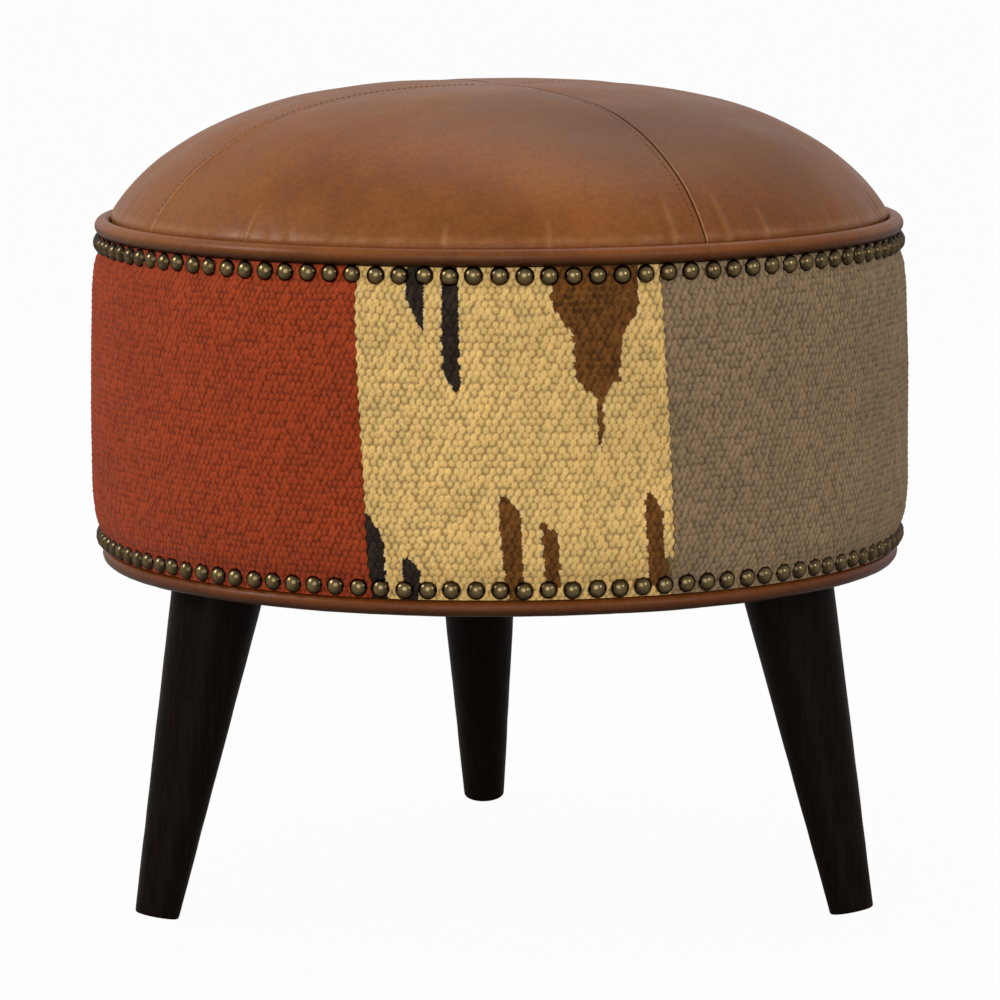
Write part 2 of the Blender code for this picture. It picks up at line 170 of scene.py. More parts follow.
def turnedBody(profile, steps, radiusDrift, closed=True):
    # a line of (radius, height) turned right round the drum's axis; a point on the axis becomes one corner
    turns = evenTurns(steps)
    order, nextOne = ringOrder(steps)
    points, starts, fours, threes = [], [], [], []
    for k, (r, z) in enumerate(profile):
        starts.append(sum(len(block) for block in points))
        onAxis = r < 1e-6
        ring = [[axisX, axisY, z]] if onAxis else aroundAxis(turns, r + radiusDrift(turns, k), z)
        points.append(np.array(ring))
    last = len(profile) if closed else len(profile) - 1
    for k in range(last):
        low = (k + 1) % len(profile)
        a, b = starts[k], starts[low]
        flatA, flatB = len(points[k]) == 1, len(points[low]) == 1
        if flatA and not flatB:
            threes.append(np.stack([a + 0 * order, b + order, b + nextOne], axis=1))
        elif flatB and not flatA:
            threes.append(np.stack([a + order, b + 0 * order, a + nextOne], axis=1))
        elif not flatA:
            fours.append(np.stack([a + order, b + order, b + nextOne, a + nextOne], axis=1))
    return np.vstack(points), fours + threes


def newMaterial(name):
    material = bpy.data.materials.new(name)
    material.use_nodes = True
    return material, material.node_tree, addNode(material.node_tree, "TexCoord").outputs["Object"]


def dress(tree, colour=None, roughness=None, relief=None, metallic=0.0, specular=0.5):
    # roughness is a number or comes from a node; returns the shader's sockets
    sockets = tree.nodes["Principled BSDF"].inputs
    sockets["Metallic"].default_value = metallic
    sockets["Specular IOR Level"].default_value = specular
    for name, value in (("Base Color", colour), ("Roughness", roughness), ("Normal", relief)):
        if isinstance(value, float):
            sockets[name].default_value = value
        elif value is not None:
            tree.links.new(value, sockets[name])
    return sockets


def addNode(tree, kind, vector=None, settings=None, **values):
    # a node of one kind, its own settings, its sockets' values, and what its Vector socket reads
    node = tree.nodes.new("ShaderNode" + kind)
    for key, value in (settings or {}).items():
        setattr(node, key, value)
    for key, value in values.items():
        node.inputs[key].default_value = value
    if vector is not None:
        tree.links.new(vector, node.inputs["Vector"])
    return node


def attributeOf(tree, name):
    return addNode(tree, "Attribute", settings={"attribute_name": name}).outputs


def shadeOf(tree, colour, value):
    # the colour, made darker or lighter by the value
    shade = addNode(tree, "HueSaturation", Hue=0.5, Saturation=1.0, Fac=1.0)
    tree.links.new(colour, shade.inputs["Color"])
    tree.links.new(value, shade.inputs["Value"])
    return shade.outputs["Color"]


def noiseOf(tree, place, scale, detail=3.0, roughness=0.55, distortion=0.0):
    return addNode(tree, "TexNoise", place, Scale=scale, Detail=detail, Roughness=roughness,
                   Distortion=distortion).outputs["Fac"]


def wavesOf(tree, place, scale, distortion, direction):
    return addNode(tree, "TexWave", place, {"bands_direction": direction}, Scale=scale,
                   Distortion=distortion).outputs


def rampOf(tree, value, stops):
    ramp = addNode(tree, "ValToRGB")
    elements = ramp.color_ramp.elements
    while len(elements) < len(stops):
        elements.new(0.5)
    for element, (position, colour) in zip(elements, stops):
        element.position = position
        element.color = (*colour, 1.0)
    tree.links.new(value, ramp.inputs["Fac"])
    return ramp.outputs["Color"]


def mapOf(tree, value, fromLow, fromHigh, low, high):
    limits = {"From Min": fromLow, "From Max": fromHigh, "To Min": low, "To Max": high}
    node = addNode(tree, "MapRange", **limits)
    tree.links.new(value, node.inputs["Value"])
    return node.outputs["Result"]


def mathOf(tree, operation, first, second=None):
    node = addNode(tree, "Math", settings={"operation": operation})
    for socket, value in zip(node.inputs, (first, second)):
        if value is None:
            continue
        if isinstance(value, (int, float)):
            socket.default_value = value
        else:
            tree.links.new(value, socket)
    return node.outputs[0]


def blendOf(tree, first, firstShare, second, secondShare):
    return mathOf(tree, "ADD", mathOf(tree, "MULTIPLY", first, firstShare),
                  mathOf(tree, "MULTIPLY", second, secondShare))


def mixColours(tree, blend, factor, first, second):
    node = addNode(tree, "Mix", settings={"data_type": "RGBA", "blend_type": blend})
    for socket, value in ((node.inputs[0], factor), (node.inputs[6], first), (node.inputs[7], second)):
        if isinstance(value, (int, float)):
            socket.default_value = value
        elif isinstance(value, tuple):
            socket.default_value = (*value, 1.0)
        else:
            tree.links.new(value, socket)
    return node.outputs[2]


def bumpOf(tree, height, distance, strength=1.0, under=None):
    node = addNode(tree, "Bump", Strength=strength, Distance=distance)
    tree.links.new(height, node.inputs["Height"])
    if under is not None:
        tree.links.new(under, node.inputs["Normal"])
    return node.outputs["Normal"]


# floor, lights and camera

studio = {
    "floorSize": 30.0,
    "floorWhite": 1.0,
    "floorGlow": 0.97,       # share of the floor's paleness that shade doesn't touch
    "floorBounce": (0.44, 0.43, 0.42),
    "skyWhite": 0.983,
    "skyLight": 0.64,
    "aimHeight": 0.27,
    # name: how far, compass direction from the front in degrees (left is minus), elevation, size, watts
    "lights": {
        "window": (2.2, -78.0, 32.0, 0.7, 16.0),
        "reflector": (2.3, 46.0, 20.0, 0.45, 5.0),
        "front": (4.2, -8.0, 12.0, 3.0, 58.0),
        "overhead": (2.4, 160.0, 66.0, 1.6, 11.0),
    },
}
view = {
    "distance": 2.9099,
    "height": 0.6316,
    "lookDown": 0.1404,
    "roll": -0.0037,
    "lens": 183.36,
    "sensor": 36.0,
}


def buildStudio():
    material, tree, _ = newMaterial("pale floor")
    dress(tree, roughness=0.9)["Base Color"].default_value = (*studio["floorBounce"], 1.0)
    glow = addNode(tree, "Emission", Strength=studio["floorWhite"])
    mix = addNode(tree, "MixShader")
    share = mathOf(tree, "MULTIPLY", addNode(tree, "LightPath").outputs["Is Camera Ray"], studio["floorGlow"])
    tree.links.new(share, mix.inputs["Fac"])
    tree.links.new(tree.nodes["Principled BSDF"].outputs["BSDF"], mix.inputs[1])
    tree.links.new(glow.outputs["Emission"], mix.inputs[2])
    tree.links.new(mix.outputs["Shader"], tree.nodes["Material Output"].inputs["Surface"])
    half = studio["floorSize"]
    mesh = bpy.data.meshes.new("floor")
    corners = [(-half, -half, 0), (half, -half, 0), (half, half, 0), (-half, half, 0)]
    mesh.from_pydata(corners, [], [(0, 1, 2, 3)])
    mesh.materials.append(material)
    floor = bpy.data.objects.new("floor", mesh)
    bpy.context.scene.collection.objects.link(floor)

    world = bpy.data.worlds.new("studio")
    world.use_nodes = True
    bpy.context.scene.world = world
    tree = world.node_tree
    background = tree.nodes["Background"]
    seen = addNode(tree, "LightPath").outputs["Is Camera Ray"]
    strength = mapOf(tree, seen, 0.0, 1.0, studio["skyLight"], studio["skyWhite"])
    background.inputs["Color"].default_value = (1.0, 1.0, 1.0, 1.0)
    tree.links.new(strength, background.inputs["Strength"])

    middle = Vector((axisX, axisY, studio["aimHeight"]))
    for name, (far, compass, elevation, size, watts) in studio["lights"].items():
        light = bpy.data.lights.new(name, "AREA")
        light.size = size
        light.energy = watts
        lamp = bpy.data.objects.new(name, light)
        bpy.context.scene.collection.objects.link(lamp)
        turn, rise = math.radians(compass), math.radians(elevation)
        way = Vector((math.sin(turn) * math.cos(rise), -math.cos(turn) * math.cos(rise), math.sin(rise)))
        lamp.location = middle + way * far
        lamp.rotation_euler = way.to_track_quat("Z", "Y").to_euler()

    lens = bpy.data.cameras.new("camera")
    lens.lens = view["lens"]
    lens.sensor_width = view["sensor"]
    lens.dof.use_dof = False
    camera = bpy.data.objects.new("camera", lens)
    bpy.context.scene.collection.objects.link(camera)
    aim = Matrix.Rotation(math.pi / 2 - view["lookDown"], 4, "X") @ Matrix.Rotation(view["roll"], 4, "Z")
    camera.matrix_world = Matrix.Translation((axisX, axisY - view["distance"], view["height"])) @ aim
    bpy.context.scene.camera = camera
    bpy.context.scene.view_settings.view_transform = "Standard"
    bpy.context.scene.view_settings.look = "None"


buildStudio()
print("studio ready")


# the leather of the top and the piping

leather = {
    "tones": ((0.145, 0.041, 0.007), (0.205, 0.063, 0.011), (0.245, 0.086, 0.021)),
    "pipingTones": ((0.125, 0.030, 0.004), (0.190, 0.054, 0.008), (0.235, 0.075, 0.015)),
    # painted shade: the lower piping's tones are the piping's own, made darker
    "shadedPipingTones": ((0.098, 0.021, 0.002), (0.148, 0.038, 0.006), (0.186, 0.054, 0.009)),
    "pipingGloss": 0.04,
    # painted shade on the piping: how much darker its downward faces are made
    "pipingDownShade": 0.72,
    "scuff": (0.330, 0.150, 0.075),
    # the pale colour put on the seam ridges and the roll above the hem is a painted highlight; on the fold
    # crests it is partly wear and partly painted highlight
    "edge": (0.50, 0.26, 0.115),
    "roughness": (0.38, 0.52),
    "shine": 0.12,
    "wax": 0.13,
    "grain": 0.00022,
}


def leatherMaterial(name, tones, gloss=0.0, downShade=0.0):
    material, tree, place = newMaterial(name)
    clouds = noiseOf(tree, place, 7.0, detail=4.0, distortion=0.6)
    patches = noiseOf(tree, place, 26.0, detail=5.0, roughness=0.62)
    fine = noiseOf(tree, place, 320.0, detail=3.0)
    wear = noiseOf(tree, place, 13.0, detail=6.0, roughness=0.7, distortion=1.2)
    colour = rampOf(tree, blendOf(tree, clouds, 0.62, patches, 0.38), tuple(zip((0.32, 0.50, 0.68), tones)))
    colour = mixColours(tree, "MIX", mapOf(tree, wear, 0.62, 0.80, 0.0, 0.22), colour, leather["scuff"])
    # painted highlight: the pale colour marks the seam ridges and the roll above the hem, and, together with
    # wear, the fold crests
    paleWearAndHighlight = mathOf(tree, "MULTIPLY", attributeOf(tree, "toneShift")["Fac"], 0.55)
    colour = mixColours(tree, "MIX", paleWearAndHighlight, colour, leather["edge"])
    # painted shade: the colour is made darker on whatever faces down
    facing = addNode(tree, "SeparateXYZ")
    tree.links.new(addNode(tree, "NewGeometry").outputs["Normal"], facing.inputs[0])
    under = mapOf(tree, facing.outputs["Z"], -0.55, 0.45, 1.0 - downShade, 1.0)
    # painted shade and painted light: the listed patches make the colour darker or lighter
    shadeFactor = mathOf(tree, "SUBTRACT", 1.0, attributeOf(tree, "paintedShadeAndLight")["Fac"])
    speck = mapOf(tree, fine, 0.35, 0.65, 0.90, 1.08)
    colour = shadeOf(tree, colour, mathOf(tree, "MULTIPLY", mathOf(tree, "MULTIPLY", speck, under), shadeFactor))
    dull, matt = leather["roughness"]
    pebble = addNode(tree, "TexVoronoi", place, {"feature": "SMOOTH_F1"}, Scale=900.0)
    relief = bumpOf(tree, pebble.outputs["Distance"], leather["grain"], 0.35)
    relief = bumpOf(tree, noiseOf(tree, place, 120.0, detail=4.0, distortion=2.0), 0.0006, 0.25, relief)
    roughness = mapOf(tree, patches, 0.35, 0.65, dull - gloss, matt - gloss)
    sockets = dress(tree, colour, roughness, relief, specular=leather["shine"])
    sockets["Coat Weight"].default_value = leather["wax"]
    sockets["Coat Roughness"].default_value = 0.30
    return material


topLeather = leatherMaterial("waxed tan leather", leather["tones"])
pipingLeather = leatherMaterial("tight tan leather", leather["pipingTones"], leather["pipingGloss"],
                                leather["pipingDownShade"])
# the lower piping: a darker copy of the piping leather, painted shade for its lower place
shadedPipingLeather = leatherMaterial("tan leather painted darker for shade", leather["shadedPipingTones"], leather["pipingGloss"],
                                   leather["pipingDownShade"])


# the domed top, cut in four gores whose points meet at the crown

dome = {
    "radius": wallRadius + 0.005,
    "height": 0.0806,
    "power": 3.1,
    "shoulder": 0.74,
    "flow": 0.9,
    "thickness": 0.0013,
    "hemDrop": 0.0016,
    "pipingRadius": 0.0047,
    "pipingStand": 0.002,
    "seamTurn": math.radians(-60),
    "upperRows": 50,
    "lowerRows": 24,
    "firstRow": 0.0012,       # share of the line left open at the crown
    "columns": 248,
    "seamGap": 0.00012,
    "seamRise": 0.0006,
    "seamDip": 0.0011,
    "bandWidth": 0.0047,      # the seam allowance pressed flat under one side
    "stitchLine": 0.0038,
    "folds": 64,
    # folds beside the front seam: azimuth in degrees, height in metres, depth
    "sideFolds": ((-56.1, 0.030, 0.0014), (-64.8, 0.026, 0.0014), (-49.0, 0.020, 0.0008),
                  (-83.0, 0.016, 0.0008), (-97.5, 0.015, 0.0007), (-128.0, 0.022, 0.0010)),
    "billow": 0.0012,
    "mostBillow": 0.003,
    "steps": 20,
    "cloth": {"quality": 6, "mass": 0.4, "tension_stiffness": 40, "compression_stiffness": 40,
              "shear_stiffness": 20, "bending_stiffness": 2, "use_pressure": True, "uniform_pressure_force": 60},
    # painted shade and painted light: patches made darker where the dome lies in shade and lighter where light
    # falls on it; azimuth in degrees, distance from the middle, size, how much darker (a minus is lighter)
    "shadeAndLightPatches": ((-68, 0.155, 0.045, 0.26), (-38, 0.150, 0.070, 0.22), (-88, 0.120, 0.050, 0.12),
               (-100, 0.185, 0.045, -0.05), (-80, 0.210, 0.040, -0.20)),
}
pipingTopZ = deckTop + touchGap + dome["pipingRadius"]
pipingTopRing = wallRadius + dome["pipingStand"] + dome["pipingRadius"]
domeBaseZ = pipingTopZ - dome["hemDrop"]
hemTop = pipingTopZ + dome["pipingRadius"]
hemRadius = pipingTopRing - dome["pipingRadius"] - 2 * touchGap


def domeProfile(inset=0.0, bottom=hemTop, count=400):
    # radius and height from the crown down to bottom
    share = np.linspace(0.0, 1.0, count)
    reach = np.sin(share * math.pi / 2) ** dome["flow"]
    drop = np.clip(1.0 - reach ** dome["power"], 0.0, 1.0) ** dome["shoulder"]
    radius = (dome["radius"] - inset) * reach
    height = domeBaseZ + (dome["height"] - inset) * drop
    keep = height >= bottom
    return radius[keep], height[keep]


def domeLine(inset=0.0):
    # the whole leather line: the dome, then the hem tucked down behind the piping
    radius, height = domeProfile(inset)
    tuckR = np.array([radius[-1] - 0.0012, hemRadius + 0.0003, hemRadius, hemRadius]) - inset
    tuckZ = np.array([hemTop - 0.0008, pipingTopZ + 0.0030, pipingTopZ + dome["hemDrop"], domeBaseZ])
    return np.concatenate([radius, tuckR]), np.concatenate([height, tuckZ])


def resample(radius, height, stations):
    # points at given shares of the line's own length, and their outward directions
    length = np.concatenate([[0.0], np.cumsum(np.hypot(np.diff(radius), np.diff(height)))])
    at = stations * length[-1]
    r = np.interp(at, length, radius)
    z = np.interp(at, length, height)
    dr, dz = np.gradient(r, at), np.gradient(z, at)
    size = np.hypot(dr, dz)
    return r, z, -dz / size, dr / size, at


def simulateBillow():
    # how the stuffing pushes the cover out between its seams, by cloth simulation
    rows, columns = 26, 96
    stations = np.linspace(0.06, 1.0, rows)
    radius, height = domeLine(0.001)
    r, z, nr, nz, _ = resample(radius, height, stations)
    turns = evenTurns(columns)
    points = aroundAxis(turns[None, :] + 0 * r[:, None], r[:, None] + 0 * turns[None, :],
                        z[:, None] + 0 * turns[None, :]).reshape(-1, 3)
    fours = gridFaces(rows, columns, wrapColumns=True)
    crown = len(points)
    points = np.vstack([points, [[axisX, axisY, height[0]]]])
    mesh = bpy.data.meshes.new("billow")
    threes = [(crown, k, (k + 1) % columns) for k in range(columns)]
    mesh.from_pydata(points.tolist(), [], [tuple(four[::-1]) for four in fours.tolist()] + threes)
    cover = bpy.data.objects.new("billow", mesh)
    bpy.context.scene.collection.objects.link(cover)
    pins = cover.vertex_groups.new(name="pins")
    for column in range(columns):
        fromSeam = (math.degrees(turns[column] - dome["seamTurn"]) + 45) % 90 - 45
        seamHold = 0.85 * float(bell(fromSeam, 4.0))
        for row in range(rows):
            hold = 1.0 if row >= rows - 4 else seamHold
            pins.add([row * columns + column], hold, "REPLACE")
    pins.add([crown], 1.0, "REPLACE")
    cloth = cover.modifiers.new("cloth", "CLOTH")
    for key, value in dome["cloth"].items():
        setattr(cloth.settings, key, value)
    cloth.settings.vertex_group_mass = "pins"
    cloth.settings.effector_weights.gravity = 0
    cloth.collision_settings.use_collision = False
    cloth.point_cache.frame_start = 1
    cloth.point_cache.frame_end = dome["steps"]
    scene = bpy.context.scene
    for step in range(1, dome["steps"] + 1):
        scene.frame_set(step)
    shape = cover.evaluated_get(bpy.context.evaluated_depsgraph_get()).to_mesh()
    moved = np.zeros(len(shape.vertices) * 3, np.float32)
    shape.vertices.foreach_get("co", moved)
    step = (moved.reshape(-1, 3)[:crown] - points[:crown]).reshape(rows, columns, 3)
    out = step[..., 0] * np.cos(turns) + step[..., 1] * np.sin(turns)
    out = out * nr[:, None] + step[..., 2] * nz[:, None]
    bpy.data.objects.remove(cover, do_unlink=True)
    scene.frame_set(1)
    out -= out.mean(axis=1, keepdims=True)
    print("billow from", round(float(out.min()) * 1000, 2), "to", round(float(out.max()) * 1000, 2), "mm")
    return stations, turns, np.clip(out, -dome["mostBillow"], dome["mostBillow"])


def readBillow(billow, stations, azimuths):
    rowsAt, turnsAt, out = billow
    row = np.interp(stations, rowsAt, np.arange(len(rowsAt)), left=0)
    low = np.clip(np.floor(row).astype(int), 0, len(rowsAt) - 2)
    share = (row - low) * np.clip(stations / rowsAt[0], 0, 1)
    column = (azimuths % (2 * math.pi)) / (2 * math.pi) * len(turnsAt)
    left = np.floor(column).astype(int) % len(turnsAt)
    across = column - np.floor(column)
    right = (left + 1) % len(turnsAt)
    top = out[low, left] * (1 - across) + out[low, right] * across
    under = out[low + 1, left] * (1 - across) + out[low + 1, right] * across
    return (top * (1 - share) + under * share) * np.clip(stations / rowsAt[0], 0, 1)


def turnedFrom(azimuth, degrees):
    # how far round from a direction, between minus and plus half a turn
    return (azimuth - math.radians(degrees) + math.pi) % (2 * math.pi) - math.pi


def leatherRelief(azimuth, radius, height, fromLeft, fromRight):
    # what the hide does on top of the dome's line; fromLeft and fromRight are metres to the gore's own edges
    # this gore's right edge carries the pressed band and its stitching, its left edge is the plain fold
    fade = smooth(0.004, 0.020, radius) * (0.14 + 0.86 * smooth(0.09, 0.17, radius))
    left = 1.2 * dome["seamRise"] * bell(fromLeft - 0.0007, 0.0006)
    left = left - 0.3 * dome["seamDip"] * bell(fromLeft, 0.0003) + 0.0003 * bell(fromLeft - 0.003, 0.004)
    wide = dome["bandWidth"]
    band = 0.55 * dome["seamRise"] * (1 - smooth(wide - 0.001, wide + 0.0016, fromRight))
    right = band - 0.6 * dome["seamDip"] * bell(fromRight, 0.0005)
    right -= 0.0003 * bell(fromRight - dome["stitchLine"], 0.0005)
    relief = fade * (left + right)
    rise = height - hemTop
    draw = np.random.default_rng(11)
    for k in range(dome["folds"]):
        place = 2 * math.pi * (k + draw.uniform(-0.45, 0.45)) / dome["folds"]
        tall = draw.uniform(0.010, 0.034)
        wide = draw.uniform(0.0016, 0.0042)
        deep = draw.uniform(0.00012, 0.00060)
        lean = draw.uniform(-0.10, 0.10)
        off = ((azimuth - place - lean * rise / 0.1 + math.pi) % (2 * math.pi) - math.pi) * radius
        relief = relief - deep * bell(off, wide) * (1 - smooth(0.2 * tall, tall, rise))
    for degrees, tall, deep in dome["sideFolds"]:
        off = turnedFrom(azimuth, degrees) * radius
        fold = bell(off, 0.0018) - 0.5 * bell(off + 0.003, 0.002)
        relief = relief + deep * fold * (1 - smooth(0.3 * tall, tall, rise))
    x, y = radius * np.cos(azimuth) + 5.0, radius * np.sin(azimuth) + 5.0
    relief = relief + 0.0005 * drift(x, y, 3, 0.055) + 0.00022 * drift(x, y, 4, 0.019)
    return relief * (1 - 0.9 * smooth(0.0, -0.004, rise))


# columns near a gore's edge, in metres from it, close together beside the seam
edgeSteps = np.array([0.0, 0.0003, 0.0006, 0.0009, 0.0013, 0.0017, 0.0022, 0.0028, 0.0033, 0.0036, 0.0039,
                      0.0043, 0.0048, 0.0054, 0.0062, 0.0074, 0.0090, 0.0110])


def buildGores(billow):
    span = math.pi / 2
    upper = np.linspace(dome["firstRow"], 0.80, dome["upperRows"])
    stations = np.concatenate([upper, np.linspace(0.81, 1.0, dome["lowerRows"])])
    r, z, nr, nz, _ = resample(*domeLine(), stations)
    middle = np.linspace(0.0, 1.0, dome["columns"] + 2)[1:-1]
    for k in range(4):
        turn = dome["seamTurn"] + k * span
        wide = r * span
        squeeze = np.minimum(1.0, wide / (edgeSteps[-1] * 4))
        fromEdge = edgeSteps[None, :] * squeeze[:, None] + dome["seamGap"]
        inner = fromEdge[:, -1:] + (wide[:, None] - 2 * fromEdge[:, -1:]) * middle[None, :]
        across = np.concatenate([fromEdge, inner, wide[:, None] - fromEdge[:, ::-1]], axis=1)
        azimuth = turn + across / r[:, None]
        out, up = r[:, None] + 0 * across, z[:, None] + 0 * across
        relief = leatherRelief(azimuth, out, up, across, wide[:, None] - across)
        relief = relief + readBillow(billow, stations[:, None] + 0 * across, azimuth)
        rows, columns = across.shape
        outer, inner = [aroundAxis(azimuth, out + lift * nr[:, None], up + lift * nz[:, None])
                        for lift in (relief, relief - dome["thickness"])]
        count = rows * columns
        rim = rimOf(rows, columns)
        nextRim = np.roll(rim, -1)
        faces = [gridFaces(rows, columns, flip=True), gridFaces(rows, columns, count),
                 np.stack([rim, nextRim, nextRim + count, rim + count], axis=1)[:, ::-1]]
        points = np.vstack([outer.reshape(-1, 3), inner.reshape(-1, 3)])
        gore = addPiece(f"leatherGore{k + 1}", points, faces, topLeather,
                        [f"leather_gore_{k + 1}"])
        rise = up - hemTop
        # painted highlight: a pale line along the raised fold at the gore's left edge, and a pale band on the
        # roll just above the hem
        toneShift = bell(across - 0.0007, 0.0004) * smooth(0.13, 0.19, out)
        toneShift = toneShift + 0.5 * bell(rise - 0.0035, 0.0015) * (0.6 + 0.4 * wander(azimuth * 0.2, 13, 0.006))
        # the fold crests are made paler, partly as wear and partly as painted highlight
        for degrees, tall, _ in dome["sideFolds"]:
            off = turnedFrom(azimuth, degrees) * out
            toneShift = toneShift + 0.30 * bell(off, 0.0013) * (1 - smooth(0.5 * tall, tall, rise))
        # painted shade and painted light: the listed patches, darker and lighter
        paintedShadeAndLight = 0 * azimuth
        for degrees, far, size, deep in dome["shadeAndLightPatches"]:
            spot = aroundAxis(np.array(math.radians(degrees)), far, 0.0)
            paintedShadeAndLight = paintedShadeAndLight + deep * bell(np.hypot(outer[..., 0] - spot[0], outer[..., 1] - spot[1]), size)
        for title, value in (("toneShift", toneShift), ("paintedShadeAndLight", paintedShadeAndLight)):
            paint(gore.data, title, "FLOAT", "POINT", np.concatenate([value.ravel(), 0 * value.ravel()]))


billow = simulateBillow()
buildGores(billow)
print("leather gores ready")


# leather piping round a cord, above and below

piping = {
    "leather": 0.0012,
    "topRadius": 0.0047,
    "topFlange": 0.0155,
    "bottomRadius": 0.0045,
    "bottomFlange": 0.005,
    "ringSteps": 360,
    "sag": 0.00028,
    "dent": 0.00010,
    "joinTurn": math.radians(74),     # where the strip's two ends meet, at the back
    "joinDepth": 0.0006,
}
pipingBottomZ = boardBottom - touchGap
pipingBottomRing = wallRadius + touchGap + piping["bottomRadius"]


def arc(centre, radius, start, end, count):
    angles = np.radians(np.linspace(start, end, count + 1))
    return [(centre[0] + radius * math.cos(a), centre[1] + radius * math.sin(a)) for a in angles]


def thicken(line, thickness):
    # both faces of a strip whose middle runs along the line, as one closed loop
    line = np.array(line)
    way = np.gradient(line, axis=0)
    way /= np.linalg.norm(way, axis=1)[:, None]
    side = np.stack([-way[:, 1], way[:, 0]], axis=1) * thickness / 2
    return np.vstack([line + side, (line - side)[::-1]])


def buildPiping(name, line, centre, node, seed, material):
    loop = thicken(line, piping["leather"])
    steps = piping["ringSteps"]
    turns = evenTurns(steps)
    turns = turns + 0.25 * math.pi / steps * np.sin(turns * 7)
    arcs = turns * centre[0]
    lift = piping["sag"] * (0.6 * wander(arcs, seed, 0.09) + 0.4 * wander(arcs, seed + 1, 0.031))
    swell = piping["dent"] * (0.5 * wander(arcs, seed + 2, 0.012) + 0.5 * wander(arcs, seed + 3, 0.005))
    join = piping["joinDepth"] * bell((turns - piping["joinTurn"]) * centre[0], 0.0011)
    offOut, offUp = loop[:, 0] - centre[0], loop[:, 1] - centre[1]
    far = np.hypot(offOut, offUp)
    roundRadius = far[len(loop) // 8]
    onRound = (far < 1.25 * roundRadius).astype(float)
    factor = 1.0 + onRound[None, :] * ((swell - join) / roundRadius)[:, None]
    radius = centre[0] + offOut[None, :] * factor
    height = centre[1] + offUp[None, :] * factor + (onRound[None, :] * lift[:, None])
    points = aroundAxis(turns[:, None] + 0 * radius, radius, height).reshape(-1, 3)
    faces = gridFaces(steps, len(loop), wrapColumns=True, wrapRows=True)
    addPiece(name, points, [faces], material, [node])


topCentre = (pipingTopRing, pipingTopZ)
topWrap = piping["topRadius"] - piping["leather"] / 2
flangeRadius = wallRadius + touchGap + piping["leather"] / 2
flangeTopZ = pipingTopZ - piping["topRadius"] - piping["leather"]
topLine = arc(topCentre, topWrap, -100, 222, 34)
topLine += [(flangeRadius + 0.0012, flangeTopZ + 0.0012), (flangeRadius + 0.0002, flangeTopZ - 0.0004)]
topLine += [(flangeRadius, flangeTopZ - piping["topFlange"] * share) for share in (0.15, 0.4, 0.7, 1.0)]
buildPiping("pipingTopLeather", topLine, topCentre, "piping_top_leather", 21, pipingLeather)
bottomCentre = (pipingBottomRing, pipingBottomZ)
bottomWrap = piping["bottomRadius"] - piping["leather"] / 2
flangeZ = boardBottom - touchGap - piping["leather"] / 2
bottomLine = arc(bottomCentre, bottomWrap, 155, -168, 34)
bottomLine += [(wallRadius + 0.0004, flangeZ), (wallRadius - 0.001, flangeZ)]
bottomLine += [(wallRadius - piping["bottomFlange"] * share, flangeZ) for share in (0.5, 1.0)]
buildPiping("pipingBottomLeather", bottomLine, bottomCentre, "piping_bottom_leather", 31, shadedPipingLeather)
print("piping ready")


# nail rows: each head is turned, set by hand and so never quite in line

nails = {
    "diameter": 0.0102,
    "height": 0.0036,
    "topCount": 108,
    "bottomCount": 111,
    "steps": 20,
    "rings": 8,
    "alongSlip": 0.00045,
    "upSlip": 0.00032,
    "tilt": 5.0,
    "metalDark": (0.024, 0.013, 0.003),
    "metal": (0.072, 0.045, 0.013),
    "metalWorn": (0.22, 0.155, 0.060),
    "metalEdge": (0.20, 0.15, 0.08),
    # how far the backs of the heads stand out from the wall
    "topSeat": 0.0086,
    "bottomSeat": 0.0091,
    "raised": 0.0006,         # how far the upper heads tuck up under the piping
}
topNailZ = pipingTopZ - piping["topRadius"] - nails["diameter"] / 2 + nails["raised"]
kilimTopZ = pipingTopZ - piping["topRadius"] - touchGap
kilimBottomZ = pipingBottomZ + piping["bottomRadius"] + touchGap
bottomNailZ = kilimBottomZ + nails["diameter"] / 2


def nailSpots(count, height, seed):
    draw = np.random.default_rng(seed)
    azimuth = -math.pi / 2 + np.arange(count) * (2 * math.pi / count)
    azimuth = azimuth + draw.uniform(-1, 1, count) * nails["alongSlip"] / wallRadius
    return azimuth, height + draw.uniform(-1, 1, count) * nails["upSlip"]


topSpots = nailSpots(nails["topCount"], topNailZ - nails["upSlip"], 5)
bottomSpots = nailSpots(nails["bottomCount"], bottomNailZ + nails["upSlip"], 6)


def brassMaterial():
    material, tree, place = newMaterial("antiqued brass")
    tarnish = noiseOf(tree, place, 190.0, detail=4.0, roughness=0.6)
    pits = noiseOf(tree, place, 1500.0, detail=3.0)
    tones = ((0.22, nails["metalDark"]), (0.52, nails["metal"]), (0.86, nails["metalWorn"]))
    colour = rampOf(tree, blendOf(tree, attributeOf(tree, "crown")["Fac"], 0.62, tarnish, 0.5), tones)
    roughness = mapOf(tree, pits, 0.3, 0.7, 0.17, 0.27)
    sockets = dress(tree, colour, roughness, bumpOf(tree, pits, 0.0001, 0.10), metallic=1.0)
    sockets["Specular Tint"].default_value = (*nails["metalEdge"], 1.0)
    sockets["Coat Weight"].default_value = 0.4
    sockets["Coat Roughness"].default_value = 0.10
    return material


